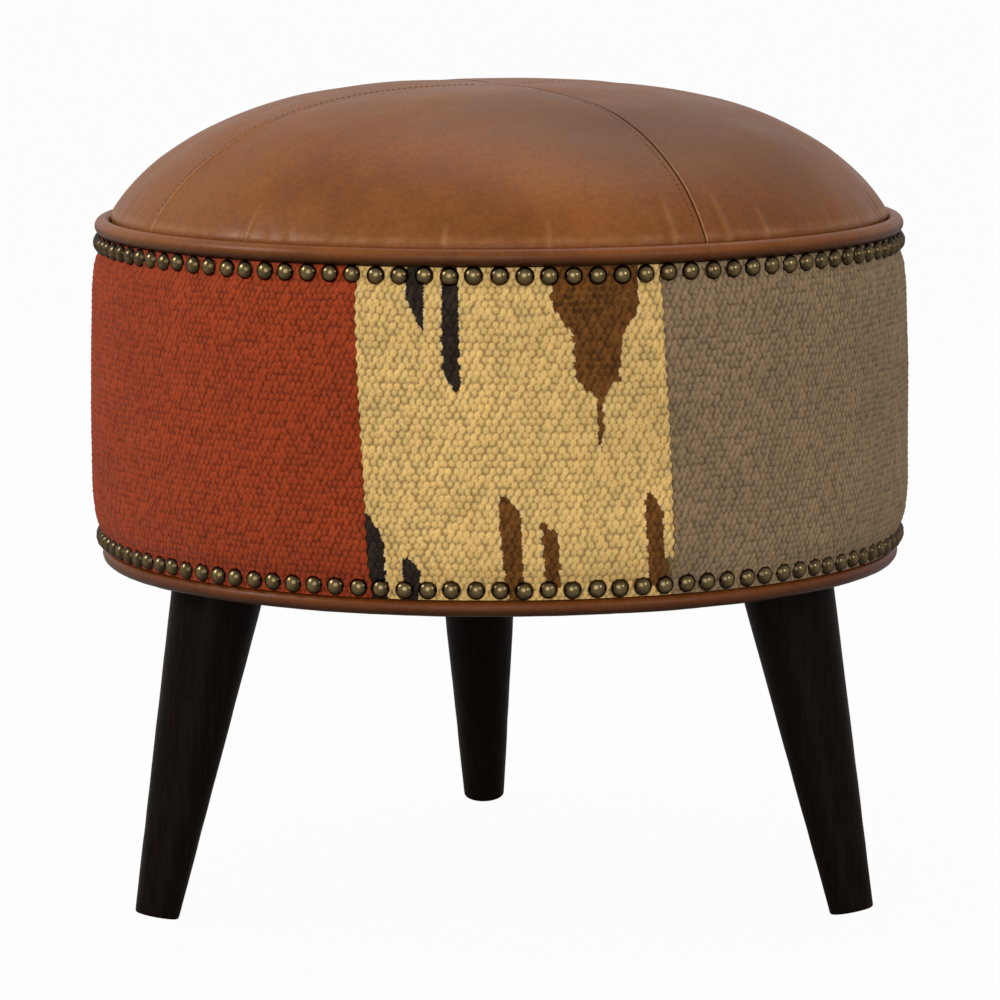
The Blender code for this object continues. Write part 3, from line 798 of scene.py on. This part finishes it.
def buildNails(name, spots, backRadius, node, seed):
    draw = np.random.default_rng(seed)
    half, tall, steps = nails["diameter"] / 2, nails["height"], nails["steps"]
    ball = (half * half + tall * tall) / (2 * tall)
    widest = math.asin(half / ball)
    rings = nails["rings"]
    lean = widest * (np.arange(1, rings + 1) / rings)
    across = np.concatenate([ball * np.sin(lean), [half * 1.01, half * 0.97]])
    out = np.concatenate([ball * np.cos(lean) - (ball - tall), [-0.0002, -0.0003]])
    out[rings - 1] = 0.00015
    turns = evenTurns(steps)
    local = np.vstack([[[0.0, 0.0, tall]], np.stack([
        (across[:, None] * np.cos(turns)).ravel(), (across[:, None] * np.sin(turns)).ravel(),
        np.repeat(out, steps)], axis=1)])
    crown = np.concatenate([[1.0], np.repeat(np.clip(1 - (across / half) ** 2, 0, 1), steps)])
    fan = fanFaces(steps)
    bands = gridFaces(len(across), steps, 1, wrapColumns=True, flip=True)
    back = np.arange(len(across) * steps, (len(across) - 1) * steps, -1)[None, :]
    points, faces = [], []
    for azimuth, height in zip(*spots):
        outward = Vector((math.cos(azimuth), math.sin(azimuth), 0.0))
        tips = [math.radians(draw.uniform(-1, 1) * nails["tilt"]) for _ in range(2)]
        tip = Matrix.Rotation(tips[0], 3, "Z") @ Matrix.Rotation(tips[1], 3, outward.cross(Vector((0, 0, 1))))
        sideways = tip @ Vector((-math.sin(azimuth), math.cos(azimuth), 0.0))
        outward = tip @ outward
        up = outward.cross(sideways)
        size = 1.0 + draw.uniform(-0.025, 0.025)
        start = len(points) * len(local)
        seat = np.array(aroundAxis(np.array(azimuth), backRadius, height))
        points.append(seat + size * (local[:, :1] * np.array(sideways) + local[:, 1:2] * np.array(up))
                      + local[:, 2:] * np.array(outward))
        faces.append([group + start for group in (fan, bands, back)])
    faces = [np.vstack(group) for group in zip(*faces)]
    row = addPiece(name, np.vstack(points), faces, brass, [node])
    paint(row.data, "crown", "FLOAT", "POINT", np.tile(crown, len(points)))


brass = brassMaterial()
buildNails("nailRowTop", topSpots, wallRadius + nails["topSeat"] + touchGap, "nail_row_top", 7)
buildNails("nailRowBottom", bottomSpots, wallRadius + nails["bottomSeat"] + touchGap, "nail_row_bottom", 8)
print("nails ready")


# kilim: the weave is real relief, one bump for each float of weft over a warp

kilim = {
    "thickness": 0.0024,
    # height above the lower edge as a share of the cloth, and how far its face stands out from the wall
    "profile": ((0.0, 0.0089), (0.050, 0.0091), (0.092, 0.0128), (0.185, 0.0145), (0.56, 0.0143),
                (0.83, 0.0131), (0.915, 0.0116), (0.951, 0.0087), (1.0, 0.0086)),
    "soften": 0.0035,
    "relief": 0.00085,
    "sampleAcross": 0.00068,
    "sampleUp": 0.00092,
    "backStride": 9,
    "nailPull": 0.0007,
    "scallop": 0.00055,
    "scallopPitch": 0.0069,
    "gap": 0.00012,
    "bareEdge": 0.00055,
    "seamDip": 0.0004,
    "turnIn": 0.012,          # cloth folded out of sight at every edge, part of its cut size
    "cotton": (0.78, 0.72, 0.60),
}
kilimTall = kilimTopZ - kilimBottomZ
faceRadius = wallRadius + 0.0138
navy, brown, olive = (0.023, 0.015, 0.010), (0.140, 0.051, 0.009), (0.19, 0.13, 0.045)
rust, straw, taupe = (0.294, 0.040, 0.009), (0.690, 0.448, 0.156), (0.252, 0.169, 0.092)
umber, wheat, indigo = (0.105, 0.046, 0.018), (0.46, 0.31, 0.15), (0.030, 0.036, 0.056)

# motif outlines, in millimetres from the cloth's left seam and above its lower edge
strawMotifs = (
    (navy, ((25, 185), (35, 185), (35.4, 146.4), (29.4, 153), (25.5, 161))),
    (navy, ((44.7, 185), (53.9, 185), (55.2, 116), (54, 111.5), (51.4, 114.7), (47.2, 119), (45.6, 126))),
    (brown, ((104.3, 185), (153, 185), (151.5, 153), (145.7, 147.4), (142.6, 141), (141.1, 117.7), (135, 113),
             (132.2, 109.5), (131.6, 91), (129.9, 80), (128.3, 91), (128.4, 108), (122.9, 113), (116.5, 119),
             (115.5, 143.4), (107, 153), (104.1, 157.4))),
    (navy, ((-4, 48), (6.5, 44.1), (11.5, 37.3), (13.6, 28), (13.2, 10), (14.1, -4), (-4, -4))),
    (navy, ((23.5, 25.3), (31, 19.5), (32.6, 16.8), (32.7, 6), (30, -4), (27, -4), (23.8, 8), (23.2, 15.4))),
    (brown, ((76.2, 58.7), (84.7, 52.2), (87.3, 48), (87.8, 28), (89.1, -4), (82, -4), (79.3, 8.5),
             (75.6, 40))),
    (brown, ((97.9, 42.4), (104.9, 38), (107, 35.8), (107.6, 23), (109.4, 7), (101.1, 7), (99.6, 18.6))),
    (brown, ((155.5, 58.2), (162.4, 52), (164.7, 48.5), (166, 26), (171.9, 5), (158.7, 6), (154.3, 52))),
    (olive, ((167.9, 20.2), (172, 20), (174.3, 7.7), (170.7, 8))),
)


def lozenge(x, y, wide, tall):
    return ((x - wide, y), (x - wide / 2, y + tall / 2), (x, y + tall), (x + wide / 2, y + tall / 2),
            (x + wide, y), (x + wide / 2, y - tall / 2), (x, y - tall), (x - wide / 2, y - tall / 2))


indigoMotifs = tuple((rust, lozenge(x, 92, 13, 34)) for x in (46, 108, 170))
wheatMotifs = tuple((umber, lozenge(x, y, 9, 26)) for x, y in
                    ((38, 128), (76, 56), (114, 128), (152, 56), (190, 128)))
umberMotifs = tuple((straw, ((x, 40), (x + 10, 62), (x + 10, 118), (x, 142), (x - 10, 118), (x - 10, 62)))
                    for x in (48, 108, 168))
# name: its node, left seam in degrees, ground colour, spacing of the floats across and up, motifs
kilimCloths = {
    "Rust": ("kilim_rust", -188.0, rust, 0.0034, 0.00685, ()),
    "Straw": ("kilim_straw", -108.7, straw, 0.0039, 0.0074, strawMotifs),
    "Taupe": ("kilim_taupe", -67.2, taupe, 0.0035, 0.0068, ()),
    "Indigo": ("kilim_indigo", 9.0, indigo, 0.0035, 0.0069, indigoMotifs),
    "Wheat": ("kilim_wheat", 62.0, wheat, 0.0034, 0.0070, wheatMotifs),
    "Umber": ("kilim_umber", 118.0, umber, 0.0035, 0.0069, umberMotifs),
}
# how far a seam strays from upright: at its top, and at its foot, in degrees
seamStray = {"Straw": (-0.75, 1.05), "Taupe": (-0.75, 0.9), "Rust": (0.3, -0.3), "Indigo": (0.2, -0.4),
             "Wheat": (-0.4, 0.2), "Umber": (0.3, 0.1)}


def kilimMaterial(name):
    material, tree, place = newMaterial(name)
    flat = addNode(tree, "UVMap", settings={"uv_map": "cloth"}).outputs["UV"]
    stretch = addNode(tree, "Mapping", flat, Scale=(1.0, 0.16, 1.0))
    fibres = noiseOf(tree, stretch.outputs["Vector"], 3600.0, detail=3.0)
    # painted shade: the weave's valleys, where the rise is low, are made darker
    valleyShade = mapOf(tree, attributeOf(tree, "rise")["Fac"], 0.0, 0.75, 0.46, 1.08)
    streak = mapOf(tree, fibres, 0.3, 0.7, 0.72, 1.24)
    toneShift = mapOf(tree, noiseOf(tree, place, 22.0, detail=4.0), 0.3, 0.7, 0.94, 1.06)
    value = mathOf(tree, "MULTIPLY", mathOf(tree, "MULTIPLY", valleyShade, streak), toneShift)
    colour = shadeOf(tree, attributeOf(tree, "yarn")["Color"], value)
    roughness = mapOf(tree, fibres, 0.3, 0.7, 0.80, 0.98)
    sockets = dress(tree, colour, roughness, bumpOf(tree, fibres, 0.00025, 0.5), specular=0.10)
    sockets["Sheen Weight"].default_value = 0.04
    sockets["Sheen Roughness"].default_value = 0.6
    return material


def inside(x, y, outline):
    # which points lie inside an outline
    result = np.zeros(np.shape(x), bool)
    for (x0, y0), (x1, y1) in zip(outline, outline[1:] + outline[:1]):
        crosses = (y0 > y) != (y1 > y)
        with np.errstate(divide="ignore", invalid="ignore"):
            result ^= crosses & (x < (x1 - x0) * (y - y0) / (y1 - y0 + 1e-12) + x0)
    return result


def floats(across, up, cloth, seed):
    # relief of the weave from 0 to 1, and the middle and keys of the float on top at each point
    _, _, _, spaceAcross, spaceUp, _ = cloth
    slideAcross = across + 0.0006 * drift(across, up, seed, 0.013)
    slideUp = up + 0.0008 * drift(across, up, seed + 1, 0.022)
    best = None
    for half in (0.0, 0.5):
        x, y = slideAcross / spaceAcross - half, slideUp / spaceUp - half
        i, j = np.round(x), np.round(y)
        key = hashed(i + 300 * half, j, seed)
        other = hashed(j, i + 300 * half, seed + 7)
        lean = 0.03 + 0.4 * (key - 0.5)
        dx = np.abs(x - i - lean * (y - j) + 0.24 * (other - 0.5)) / (0.44 + 0.09 * other)
        dy = np.abs(y - j + 0.12 * (key - 0.5)) / (0.26 + 0.07 * key)
        rise = np.clip(1.0 - dx ** 2 - dy ** 2, 0.0, 1.0) ** 0.55 * (0.80 + 0.35 * other)
        close = dx * dx + dy * dy
        middleX, middleY = (i + half) * spaceAcross, (j + half) * spaceUp
        fresh = [rise, close, middleX, middleY, key, other, np.abs(y - j)]
        if best is not None:
            nearer = close < best[1]
            pairs = zip(fresh[1:], best[1:])
            fresh = [np.maximum(rise, best[0])] + [np.where(nearer, *pair) for pair in pairs]
        best = fresh
    return best


def yarnColours(across, up, cloth, seed):
    # the colour of each face follows the float it belongs to, so the motifs' edges step with the weave
    _, _, ground, _, spaceUp, motifs = cloth
    _, _, middleX, middleY, key, other, fromMiddle = floats(across, up, cloth, seed)
    tint = np.ones(across.shape + (3,)) * np.array(ground)
    dark = np.zeros(across.shape, bool)
    edge = np.zeros(across.shape, bool)
    x, y = 0.5 * across + 0.5 * middleX, 0.35 * up + 0.65 * middleY
    for colour, outline in motifs:
        hit = inside(x * 1000, y * 1000, outline)
        tint[hit] = colour
        dark |= hit
        for way in (-kilim["bareEdge"], kilim["bareEdge"]):
            edge |= inside((x + way) * 1000, y * 1000, outline)
    edge &= ~dark
    tint[edge] = tint[edge] * 0.85 + 0.15 * np.array(kilim["cotton"])
    bare = edge & (fromMiddle > 0.27) & (key > 0.45)
    tint[bare] = tint[bare] * 0.65 + 0.35 * np.array(kilim["cotton"])
    level = 1.0 + (0.16 + 0.30 * dark) * (key - 0.5) + 0.05 * drift(across, up, seed + 3, 0.012)
    rows = np.cos(2 * math.pi * up / spaceUp * 2) * (0.5 + 0.5 * drift(across, up, seed + 6, 0.016))
    level = level - (0.24 * dark + 0.06) * rows + 0.035 * drift(across, up, seed + 4, 0.05)
    warm = 1.0 + 0.05 * (other - 0.5)
    return tint * level[..., None] * np.stack([warm, np.ones_like(warm), 2 - warm], axis=-1)


def clothRadius(height):
    # the profile, rounded by taking five heights together
    shares, stands = np.array(kilim["profile"]).T
    total = 0.0
    for shift, weight in ((-1.0, 0.2), (-0.5, 0.25), (0.0, 0.1), (0.5, 0.25), (1.0, 0.2)):
        at = (height + shift * kilim["soften"] - kilimBottomZ) / kilimTall
        total = total + weight * np.interp(at, shares, stands)
    return wallRadius + total


def nailPull(azimuth, height):
    # each nail draws the cloth in under its head
    total = 0.0
    for azimuths, heights in (topSpots, bottomSpots):
        count = len(azimuths)
        near = np.round((azimuth + math.pi / 2) / (2 * math.pi / count)).astype(int) % count
        off = (azimuth - azimuths[near] + math.pi) % (2 * math.pi) - math.pi
        total = total + bell(np.hypot(off * faceRadius, height - heights[near]), 0.0062)
    return kilim["nailPull"] * total


def seamAt(name, up):
    top, foot = seamStray[name]
    share = up / kilimTall
    return math.radians(kilimCloths[name][1]) + np.radians(foot + (top - foot) * smooth(0.0, 1.0, share))


def coarseBack(rows, columns, start, stride):
    # the hidden face: big cells inside, but every corner kept along its edges
    down, along = [list(range(0, size - 1, stride)) + [size - 1] for size in (rows, columns)]
    loops = []
    for r0, r1 in zip(down, down[1:]):
        for c0, c1 in zip(along, along[1:]):
            top = range(c0, c1) if r0 == 0 else (c0,)
            right = range(r0, r1) if c1 == columns - 1 else (r0,)
            foot = range(c1, c0, -1) if r1 == rows - 1 else (c1,)
            left = range(r1, r0, -1) if c0 == 0 else (r1,)
            loop = [(r0, c) for c in top] + [(r, c1) for r in right] + [(r1, c) for c in foot]
            loop += [(r, c0) for r in left]
            loops.append([start + r * columns + c for r, c in loop])
    return loops


def buildKilim(name, nextName, seed):
    cloth = kilimCloths[name]
    node, left = cloth[:2]
    right = kilimCloths[nextName][1]
    right += 360.0 if right < left else 0.0
    width = math.radians(right - left) * faceRadius
    columns = int(width / kilim["sampleAcross"])
    rows = int(kilimTall / kilim["sampleUp"])
    up = np.linspace(kilimTall, 0.0, rows)[:, None]
    share = np.linspace(0.0, 1.0, columns)[None, :]
    wave = kilim["scallop"] / faceRadius * np.sin(2 * math.pi * up / kilim["scallopPitch"])
    start = seamAt(name, up) + wave + kilim["gap"] / faceRadius
    end = seamAt(nextName, up) + wave - kilim["gap"] / faceRadius
    end = end + 2 * math.pi * (end < start)
    azimuth = start + (end - start) * share
    up = up + 0 * azimuth
    across = (azimuth - math.radians(left)) * faceRadius
    rise = floats(across, up, cloth, seed)[0]
    height = kilimBottomZ + up
    edge = np.minimum(azimuth - start, end - azimuth) * faceRadius
    calm = smooth(0.0, 0.0016, edge) * smooth(0.0, 0.002, np.minimum(up, kilimTall - up))
    radius = clothRadius(height) - nailPull(azimuth, height) - kilim["seamDip"] * bell(edge, 0.0011)
    radius = radius + 0.0004 * drift(across, up, seed + 5, 0.035)
    face = radius + kilim["relief"] * (rise * (0.35 + 0.65 * calm) - 0.5)
    outer, hidden = [aroundAxis(azimuth, reach, height).reshape(-1, 3)
                     for reach in (face, radius - kilim["thickness"])]
    count = rows * columns
    rim = rimOf(rows, columns)
    loops = coarseBack(rows, columns, 0, kilim["backStride"])
    used = np.zeros(count, bool)
    used[np.concatenate([rim] + [np.array(loop) for loop in loops])] = True
    renumber = np.cumsum(used) - 1 + count
    loops = [renumber[loop] for loop in loops]
    nextRim = np.roll(rim, -1)
    sides = np.stack([rim, renumber[rim], renumber[nextRim], nextRim], axis=1)
    faces = [gridFaces(rows, columns, flip=True), sides, loops]
    material = kilimMaterial("kilim wool " + name.lower())
    piece = addPiece(f"kilim{name}", np.vstack([outer, hidden[used]]), faces, material, [node])
    mesh = piece.data
    paint(mesh, "rise", "FLOAT", "POINT", np.concatenate([rise.ravel(), np.full(used.sum(), 0.4)]))
    middleAcross, middleUp = [(values[:-1, :-1] + values[1:, 1:]) / 2 for values in (across, up)]
    tint = yarnColours(middleAcross, middleUp, cloth, seed).reshape(-1, 3)
    tint = np.vstack([tint, np.tile(np.array(cloth[2]), (len(sides) + len(loops), 1))])
    paint(mesh, "yarn", "FLOAT_COLOR", "FACE", np.hstack([tint, np.ones((len(tint), 1))]))
    flat = mesh.uv_layers.new(name="cloth")
    corner = np.zeros(len(mesh.loops), np.int32)
    mesh.loops.foreach_get("vertex_index", corner)
    spread = np.stack([across.ravel(), up.ravel()], axis=1)
    spread = np.vstack([spread, spread[used]])
    flat.data.foreach_set("uv", spread[corner].astype(np.float32).ravel())


# what lies under the covers, and the cloth below the seat

stuffing = {
    "wadding": (0.0036, 0.0073),      # outer and inner face, below the leather's line
    "foam": 0.0078,
    "lumps": 0.0004,
    "steps": 120,
    "sideGap": 0.0036,                # from the kilim's face to the side foam
    "dustRadius": 0.2155,
    "dustThickness": 0.0006,
    "dustSag": 0.0011,
    "dustTurnIn": 0.006,
    "plateRing": 0.183,               # how far the leg plates lie from the middle
}


def foamMaterial(name, colour, cells, depth):
    material, tree, place = newMaterial(name)
    pores = addNode(tree, "TexVoronoi", place, Scale=cells).outputs["Distance"]
    pale = tuple(min(1.0, part * 1.15) for part in colour)
    dull = tuple(part * 0.78 for part in colour)
    colour = rampOf(tree, noiseOf(tree, place, 18.0, detail=4.0), ((0.35, dull), (0.65, pale)))
    dress(tree, colour, 0.95, bumpOf(tree, pores, depth, 0.6), specular=0.15)
    return material


def lumpy(seed):
    return lambda turns, k: stuffing["lumps"] * wander(turns * 0.2 + k * 0.011, seed, 0.03)


def addPad(name, profile, material, stands, radiusDrift, closed=False):
    points, faces = turnedBody(profile, stuffing["steps"], radiusDrift, closed)
    pad = addPiece(name, points, faces, material, [stands])
    return pad


def buildStuffing():
    foamTone = foamMaterial("aged foam", (0.62, 0.47, 0.22), 900.0, 0.0006)
    fleece = foamMaterial("cotton wadding", (0.74, 0.71, 0.64), 420.0, 0.0015)
    floorZ = deckTop + touchGap
    profile = list(zip(*domeProfile(stuffing["foam"], hemTop, 60)))
    profile += [(boardRadius - touchGap, floorZ + 0.003), (boardRadius - 0.002, floorZ)]
    profile += [(boardRadius * share, floorZ) for share in (0.7, 0.35)] + [(0.0, floorZ)]
    addPad("domeFoamPad", profile, foamTone, "dome_foam", lumpy(41))
    outer, inner = [list(zip(*domeProfile(inset, hemTop + 2 * touchGap, 60)))
                    for inset in stuffing["wadding"]]
    addPad("domeWaddingPad", outer + inner[::-1], fleece, "dome_wadding", lumpy(43))
    heights = np.linspace(flangeTopZ - piping["leather"], kilimBottomZ + 2 * touchGap, 40)
    outline = list(zip(clothRadius(heights) - stuffing["sideGap"] - kilim["nailPull"], heights))
    inLow = wallRadius + touchGap
    inHigh = flangeRadius + piping["leather"] / 2 + touchGap
    stepZ = flangeTopZ - piping["topFlange"] - 2 * touchGap
    outline += [(inLow, outline[-1][1]), (inLow, stepZ), (inHigh, stepZ), (inHigh, outline[0][1])]
    return addPad("sideFoamPad", outline, foamTone, "side_foam",
                  lambda turns, k: 0.4 * lumpy(47)(turns, k) * (k < 40), closed=True)


def dustMaterial():
    material, tree, place = newMaterial("black lining cloth")
    warp, weft = [wavesOf(tree, place, 420.0, 0.4, way)["Fac"] for way in ("X", "Y")]
    threads = mathOf(tree, "MULTIPLY", warp, weft)
    dust = noiseOf(tree, place, 9.0, detail=5.0)
    tones = ((0.25, (0.012, 0.011, 0.010)), (0.7, (0.045, 0.040, 0.035)))
    colour = rampOf(tree, blendOf(tree, threads, 0.35, dust, 0.65), tones)
    dress(tree, colour, 0.95, bumpOf(tree, threads, 0.0003, 0.6), specular=0.15)
    return material


def buildDustCloth():
    steps, rings = 144, 46
    radius = np.linspace(0.0, stuffing["dustRadius"], rings)[1:]
    turn = evenTurns(steps)[None, :] + 0 * radius[:, None]
    out = radius[:, None] + 0 * turn
    reach = out / stuffing["dustRadius"]
    x, y = out * np.cos(turn), out * np.sin(turn)
    sag = stuffing["dustSag"] * (1 - smooth(0.75, 1.0, reach)) * (0.55 + 0.45 * drift(x + 3, y + 3, 51, 0.07))
    # the leg plates press the cloth flat against the board
    for azimuth in legTurns.values():
        plateX, plateY = [stuffing["plateRing"] * part for part in (math.cos(azimuth), math.sin(azimuth))]
        sag = sag * (1 - smooth(0.055, 0.038, np.hypot(x - plateX, y - plateY)))
    pleats = 0.00025 * np.sin(turn * 60 + 3 * wander(turn * 3, 53, 0.9)) * smooth(0.90, 1.0, reach)
    layers, faces = [], []
    layerSize = 1 + (rings - 1) * steps
    for layer, drop in enumerate((0.0, stuffing["dustThickness"])):
        height = dustTop - 0.0001 - np.clip(sag, 0, 1) - np.clip(pleats, 0, 1) - drop
        layers += [[[axisX, axisY, float(height[0].mean())]], aroundAxis(turn, out, height).reshape(-1, 3)]
        start = layer * layerSize
        groups = [fanFaces(steps, start), gridFaces(rings - 1, steps, start + 1, wrapColumns=True, flip=True)]
        faces += groups if layer == 0 else [group[:, ::-1] for group in groups]
    order, nextOne = ringOrder(steps)
    edge = layerSize - steps
    low = edge + layerSize
    faces.append(np.stack([edge + order, low + order, low + nextOne, edge + nextOne], axis=1))
    cloth = addPiece("dustCloth", np.vstack(layers), faces, dustMaterial(), ["dust_cover"])


boardLow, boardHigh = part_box("base_board")
boardRadius = (boardHigh.x - boardLow.x) / 2
legTurns = {"left": math.radians(-148.9), "right": math.radians(-29.3), "rear": math.radians(92.7)}
sideFoam = buildStuffing()
buildDustCloth()
print("stuffing ready")
names = list(kilimCloths)
for k, (name, nextName) in enumerate(zip(names, names[1:] + names[:1])):
    buildKilim(name, nextName, 60 + 8 * k)


# turned legs

leg = {
    "splay": math.radians(12.75),
    "footRing": 0.22554,
    "footRise": 0.00247,
    "footDiameter": 0.0248,
    "topDiameter": 0.0527,
    "footRound": 0.0014,
    "boltHole": 0.0043,
    "boltDepth": 0.030,
    "sides": 64,
    "rows": 60,
    "stainDark": (0.0036, 0.0018, 0.0010),
    "stainPale": (0.0100, 0.0052, 0.0030),
    "lean": {"left": math.radians(-148.9), "right": math.radians(-29.3), "rear": math.radians(84.8)},
}


def legMaterial():
    material, tree, place = newMaterial("black stained wood")
    along = addNode(tree, "Mapping", place, Scale=(1.0, 1.0, 0.06)).outputs["Vector"]
    grain = noiseOf(tree, along, 420.0, detail=5.0, roughness=0.65)
    handling = noiseOf(tree, place, 16.0, detail=4.0)
    colour = rampOf(tree, grain, ((0.35, leg["stainDark"]), (0.68, leg["stainPale"])))
    roughness = mapOf(tree, handling, 0.35, 0.65, 0.34, 0.50)
    dress(tree, colour, roughness, bumpOf(tree, grain, 0.0002, 0.35), specular=0.045)
    return material


def buildLeg(name, material):
    foot, lean = legTurns[name], leg["lean"][name]
    inward = np.array([-math.cos(lean), -math.sin(lean), 0.0])
    axis = inward * math.sin(leg["splay"]) + np.array([0.0, 0.0, math.cos(leg["splay"])])
    side = np.array([-math.sin(lean), math.cos(lean), 0.0])
    front = np.cross(side, axis)
    place = aroundAxis(np.array(foot), leg["footRing"], leg["footRise"])
    run = (legTop - leg["footRise"]) / math.cos(leg["splay"])
    footRadius = leg["footDiameter"] / 2
    taper = (leg["topDiameter"] / 2 - footRadius) / run
    turns = evenTurns(leg["sides"])
    spokes = np.cos(turns)[:, None] * front + np.sin(turns)[:, None] * side
    edge = leg["footRound"]

    def ringAt(radius, along):
        return place + axis * along + spokes * radius

    rings = [ringAt(footRadius * share, 0.0) for share in (0.25, 0.6)]
    for degrees in (0, 22, 45, 67, 90):
        bend = math.radians(degrees)
        rings.append(ringAt(footRadius - edge + edge * math.sin(bend), edge - edge * math.cos(bend)))
    low, high = ringAt(footRadius, edge), ringAt(footRadius + taper * 2 * run, edge + 2 * run)
    reach = (legTop - low[:, 2]) / (high[:, 2] - low[:, 2])
    for k in range(1, leg["rows"] + 1):
        share = k / leg["rows"]
        ring = low + (high - low) * (reach * share)[:, None]
        wobble = 0.00012 * wander(np.full(leg["sides"], share * run), 71 + len(name), 0.012)
        rings.append(ring + spokes * (wobble * (1 - share ** 8))[:, None])
    for radius in (leg["boltHole"] + 0.002, leg["boltHole"]):
        ring = ringAt(radius, 0.0)
        rings.append(ring + axis * ((legTop - ring[:, 2]) / axis[2])[:, None])
    deep = run - leg["boltDepth"] - 0.0004
    rings.append(ringAt(leg["boltHole"], deep))
    points = np.vstack([[place]] + rings + [[place + axis * deep]])
    count = leg["sides"]
    order, nextOne = ringOrder(count)
    start = np.stack([0 * order, 1 + nextOne, 1 + order], axis=1)
    last = 1 + (len(rings) - 1) * count
    end = np.stack([0 * order + len(points) - 1, last + order, last + nextOne], axis=1)
    walls = gridFaces(len(rings), count, 1, wrapColumns=True)
    addPiece(f"leg{name.capitalize()}", points, [start, walls, end], material, [f"leg_{name}"])


blackWood = legMaterial()
for legName in legTurns:
    buildLeg(legName, blackWood)
print("legs ready")


# top stitching beside each seam

stitch = {
    "radius": 0.00026,
    "length": 0.0017,
    "pitch": 0.0036,
    "first": 0.016,
    "last": 0.018,
    "sides": 6,
    "colour": (0.045, 0.018, 0.008),
}


def stitchMaterial():
    material, tree, place = newMaterial("waxed brown thread")
    dark = tuple(part * 0.6 for part in stitch["colour"])
    wear = noiseOf(tree, place, 260.0, detail=3.0)
    dress(tree, rampOf(tree, wear, ((0.35, dark), (0.65, stitch["colour"]))), 0.7)
    return material


def stitchLineAt(radius):
    # near the crown the band narrows with the gore
    squeeze = np.minimum(1.0, radius * math.pi / 2 / (edgeSteps[-1] * 4))
    return dome["stitchLine"] * squeeze + dome["seamGap"]


def buildStitches(billow):
    r, z, nr, nz, at = resample(*domeLine(), np.linspace(0.006, 1.0, 500))
    sides = stitch["sides"]
    shares = np.array([-0.5, -0.36, -0.15, 0.15, 0.36, 0.5])
    thick = np.array([0.25, 0.8, 1.0, 1.0, 0.8, 0.25]) * stitch["radius"]
    spin = evenTurns(sides)
    size = len(shares) * sides
    points, faces = [], []
    for k in range(4):
        turn = dome["seamTurn"] + k * math.pi / 2
        place = stitch["first"]
        seat = 0
        while place < at[-1] - stitch["last"]:
            spots = place + shares * stitch["length"] * (1 + 0.15 * (hashed(seat, k, 3) - 0.5))
            out, up, outward, upward = [np.interp(spots, at, values) for values in (r, z, nr, nz)]
            fromEdge = stitchLineAt(out) + 0.0002 * (hashed(seat, k, 9) - 0.5)
            azimuth = turn - fromEdge / out
            lift = leatherRelief(azimuth, out, up, out * math.pi / 2 - fromEdge, fromEdge)
            lift = lift + readBillow(billow, spots / at[-1], azimuth % (2 * math.pi)) + 0.00004
            way = np.stack([np.cos(azimuth) * outward, np.sin(azimuth) * outward, upward], axis=-1)
            centre = aroundAxis(azimuth, out + lift * outward, up + lift * upward)
            across = np.stack([-np.sin(azimuth), np.cos(azimuth), 0 * azimuth], axis=-1)
            ring = np.cos(spin)[None, :, None] * across[:, None, :]
            ring = ring + np.sin(spin)[None, :, None] * way[:, None, :]
            faces.append(gridFaces(len(shares), sides, len(points) * size, wrapColumns=True))
            points.append((centre[:, None, :] + thick[:, None, None] * ring).reshape(-1, 3))
            place += stitch["pitch"]
            seat += 1
    starts = np.arange(len(points))[:, None] * size
    caps = [starts + np.arange(sides), starts + size - 1 - np.arange(sides)]
    addPiece("seamStitches", np.vstack(points), [np.vstack(faces)] + caps, stitchMaterial())


buildStitches(billow)
print("stitches ready")


# finishes of the carcass pieces that stay as the frame has them

def grainMaterial(name, dark, pale, stretch, scale, plies=0.0):
    material, tree, place = newMaterial(name)
    along = addNode(tree, "Mapping", place, Scale=stretch).outputs["Vector"]
    grain = noiseOf(tree, along, scale, detail=5.0, roughness=0.6, distortion=0.6)
    colour = rampOf(tree, grain, ((0.34, dark), (0.66, pale)))
    if plies:
        colour = mixColours(tree, "MULTIPLY", 0.35, colour, wavesOf(tree, place, plies, 0.3, "Z")["Color"])
    dress(tree, colour, mapOf(tree, grain, 0.3, 0.7, 0.55, 0.8), bumpOf(tree, grain, 0.0003, 0.4))
    return material


def cordMaterial():
    material, tree, place = newMaterial("cotton cord")
    twist = wavesOf(tree, place, 160.0, 1.2, "DIAGONAL")["Fac"]
    colour = rampOf(tree, twist, ((0.2, (0.55, 0.50, 0.40)), (0.8, (0.78, 0.74, 0.64))))
    dress(tree, colour, 0.95, bumpOf(tree, twist, 0.0006, 0.6))
    return material


def steelMaterial():
    material, tree, place = newMaterial("zinc plated steel")
    bloom = noiseOf(tree, place, 240.0, detail=4.0)
    colour = rampOf(tree, bloom, ((0.35, (0.33, 0.32, 0.29)), (0.65, (0.58, 0.57, 0.54))))
    roughness = mapOf(tree, bloom, 0.3, 0.7, 0.32, 0.52)
    dress(tree, colour, roughness, bumpOf(tree, bloom, 0.0001, 0.3), metallic=1.0)
    return material


plywood = grainMaterial("birch plywood", (0.36, 0.22, 0.11), (0.56, 0.38, 0.21), (0.08, 1, 1), 120.0, 210.0)
# the start or end of a piece's name, and its finish; what none of them fits is steel
finishes = {
    "base_board": plywood,
    "seat_deck": plywood,
    "drum_wall": grainMaterial("hardboard", (0.13, 0.07, 0.035), (0.20, 0.115, 0.06), (1, 1, 1), 700.0),
    "upright": grainMaterial("pine", (0.44, 0.27, 0.12), (0.66, 0.46, 0.25), (1, 1, 0.05), 160.0),
    "cord": cordMaterial(),
}
steel = steelMaterial()
for name, node in nodes.items():
    if node.hide_render:
        continue
    fits = [finish for part, finish in finishes.items() if name.startswith(part) or name.endswith(part)]
    for place in range(len(node.data.materials)):
        node.data.materials[place] = (fits + [steel])[0]
print("finishes ready")
